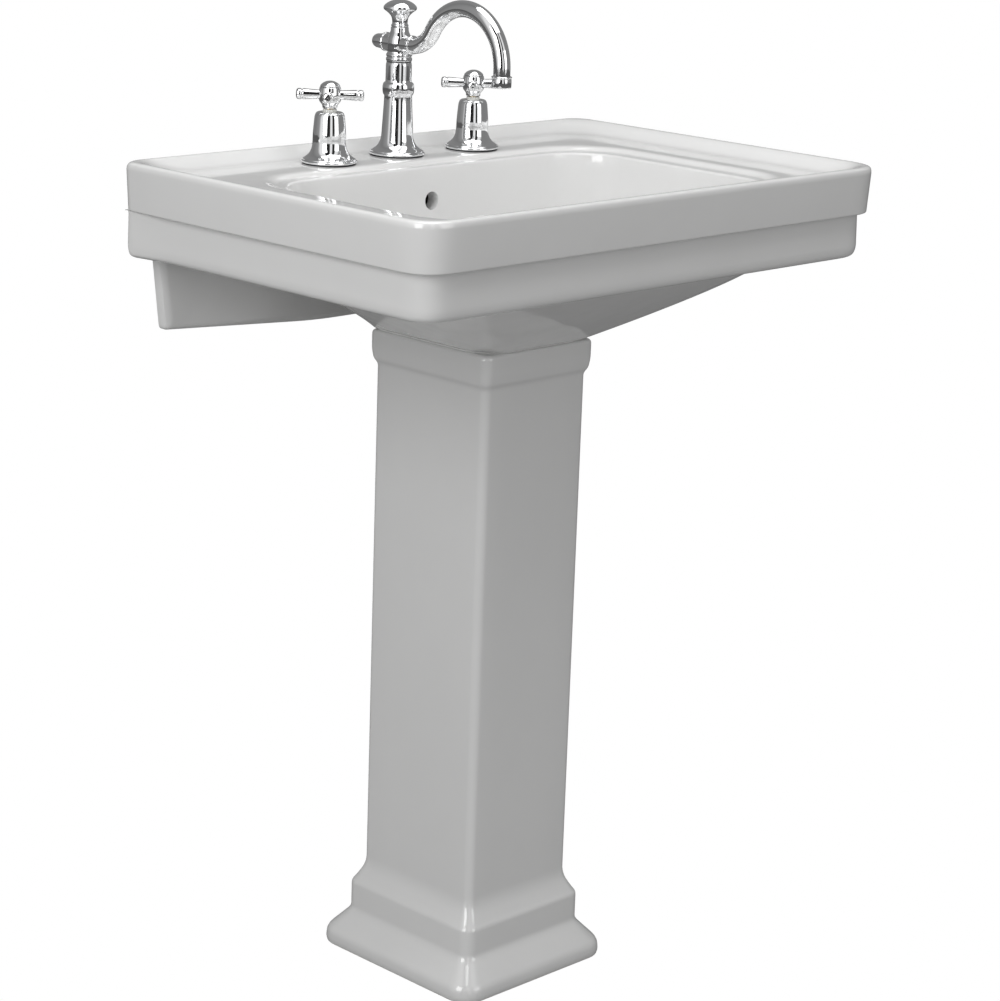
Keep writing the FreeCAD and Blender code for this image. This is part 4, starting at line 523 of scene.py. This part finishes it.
# ------------------------------------------------------------ room
# A plain floor that looks white and throws grey light back up, a soft overhead light, a large soft light on
# the left and a weak one in front.
floor_mesh = bpy.data.meshes.new("floor")
floor_mesh.from_pydata([(-9, -9, 0), (9, -9, 0), (9, 9, 0), (-9, 9, 0)], [], [(0, 1, 2, 3)])
floor = bpy.data.objects.new("floor", floor_mesh)
bpy.context.scene.collection.objects.link(floor)
pale = Finish("pale_floor")
seen = pale.node("ShaderNodeLightPath", {}, "Is Camera Ray")
black, white = (0.0, 0.0, 0.0, 1), (1.0, 1.0, 1.0, 1)
pale.set(Base_Color=pale.mixed(seen, (0.30, 0.30, 0.30, 1), black))
pale.set(Emission_Color=pale.mixed(seen, black, white))
pale.shader.inputs["Emission Strength"].default_value = 1.0
pale.shader.inputs["Roughness"].default_value = 0.9
pale.shader.inputs["Specular IOR Level"].default_value = 0.0
floor_mesh.materials.append(pale.material)

world = bpy.data.worlds.new("studio")
bpy.context.scene.world = world
world.use_nodes = True
sky = world.node_tree


def sky_node(kind, sockets, output=0, **settings):
    """Adds a node to the sky: settings, then values or links; gives back one of its outputs."""
    made = sky.nodes.new(kind)
    for setting, value in settings.items():
        setattr(made, setting, value)
    for socket, value in sockets.items():
        if isinstance(value, bpy.types.NodeSocket):
            sky.links.new(value, made.inputs[socket])
        else:
            made.inputs[socket].default_value = value
    return made.outputs[output]


# Metal mirrors white panels and dark gaps that stand round the room; other light is an even grey, and the view
# itself is white. The bands are by compass angle, in degrees anticlockwise from +X.
path = sky_node("ShaderNodeLightPath", {}).node
parts = sky_node("ShaderNodeSeparateXYZ", {0: sky_node("ShaderNodeTexCoord", {}, "Generated")}).node.outputs
compass = sky_node("ShaderNodeMath", {0: parts[1], 1: parts[0]}, operation="ARCTAN2")
place = sky_node("ShaderNodeMapRange", {"Value": compass, "From Min": -math.pi, "From Max": math.pi})
bands = sky_node("ShaderNodeValToRGB", {0: place})
stops = [(-180, 0.85), (-163, 0.95), (-159, 0.02), (-128, 0.02), (-124, 0.9), (-112, 0.9), (-109, 0.03), (-94, 0.03),
         (-90, 0.9), (-72, 0.8), (-60, 0.22), (60, 0.25), (110, 0.2), (150, 0.3), (165, 0.85)]
ramp = bands.node.color_ramp
while len(ramp.elements) < len(stops):
    ramp.elements.new(0.5)
for element, (angle, grey) in zip(ramp.elements, stops):
    element.position, element.color = (angle + 180) / 360, (grey, grey, grey, 1)
lit = sky_node("ShaderNodeMix", {"Factor": path.outputs["Is Glossy Ray"], 6: (0.32, 0.32, 0.32, 1), 7: bands}, 2,
               data_type="RGBA")
shown = sky_node("ShaderNodeMix", {"Factor": path.outputs["Is Camera Ray"], 6: lit, 7: (1, 1, 1, 1)}, 2,
                 data_type="RGBA")
sky.links.new(shown, sky.nodes["Background"].inputs["Color"])


def soft_light(name, place, target, wide, high, power):
    """A rectangular area light at a place, turned to face a target."""
    lamp = bpy.data.objects.new(name, bpy.data.lights.new(name, "AREA"))
    lamp.data.shape, lamp.data.size, lamp.data.size_y, lamp.data.energy = "RECTANGLE", wide, high, power
    lamp.location = place
    aim = (Matrix.Translation(target).to_translation() - lamp.location).to_track_quat("-Z", "Y")
    lamp.rotation_mode, lamp.rotation_quaternion = "QUATERNION", aim
    bpy.context.scene.collection.objects.link(lamp)


soft_light("overhead", (0.0, -0.2, 2.7), (0, 0, 0.8), 1.8, 1.8, 25)
soft_light("left", (-2.4, -0.6, 1.7), (0, 0, 0.7), 1.2, 2.0, 31)
soft_light("front", (0.5, -3.0, 1.5), (0, 0, 0.7), 1.6, 1.6, 12)
bpy.context.scene.view_settings.view_transform = "Standard"
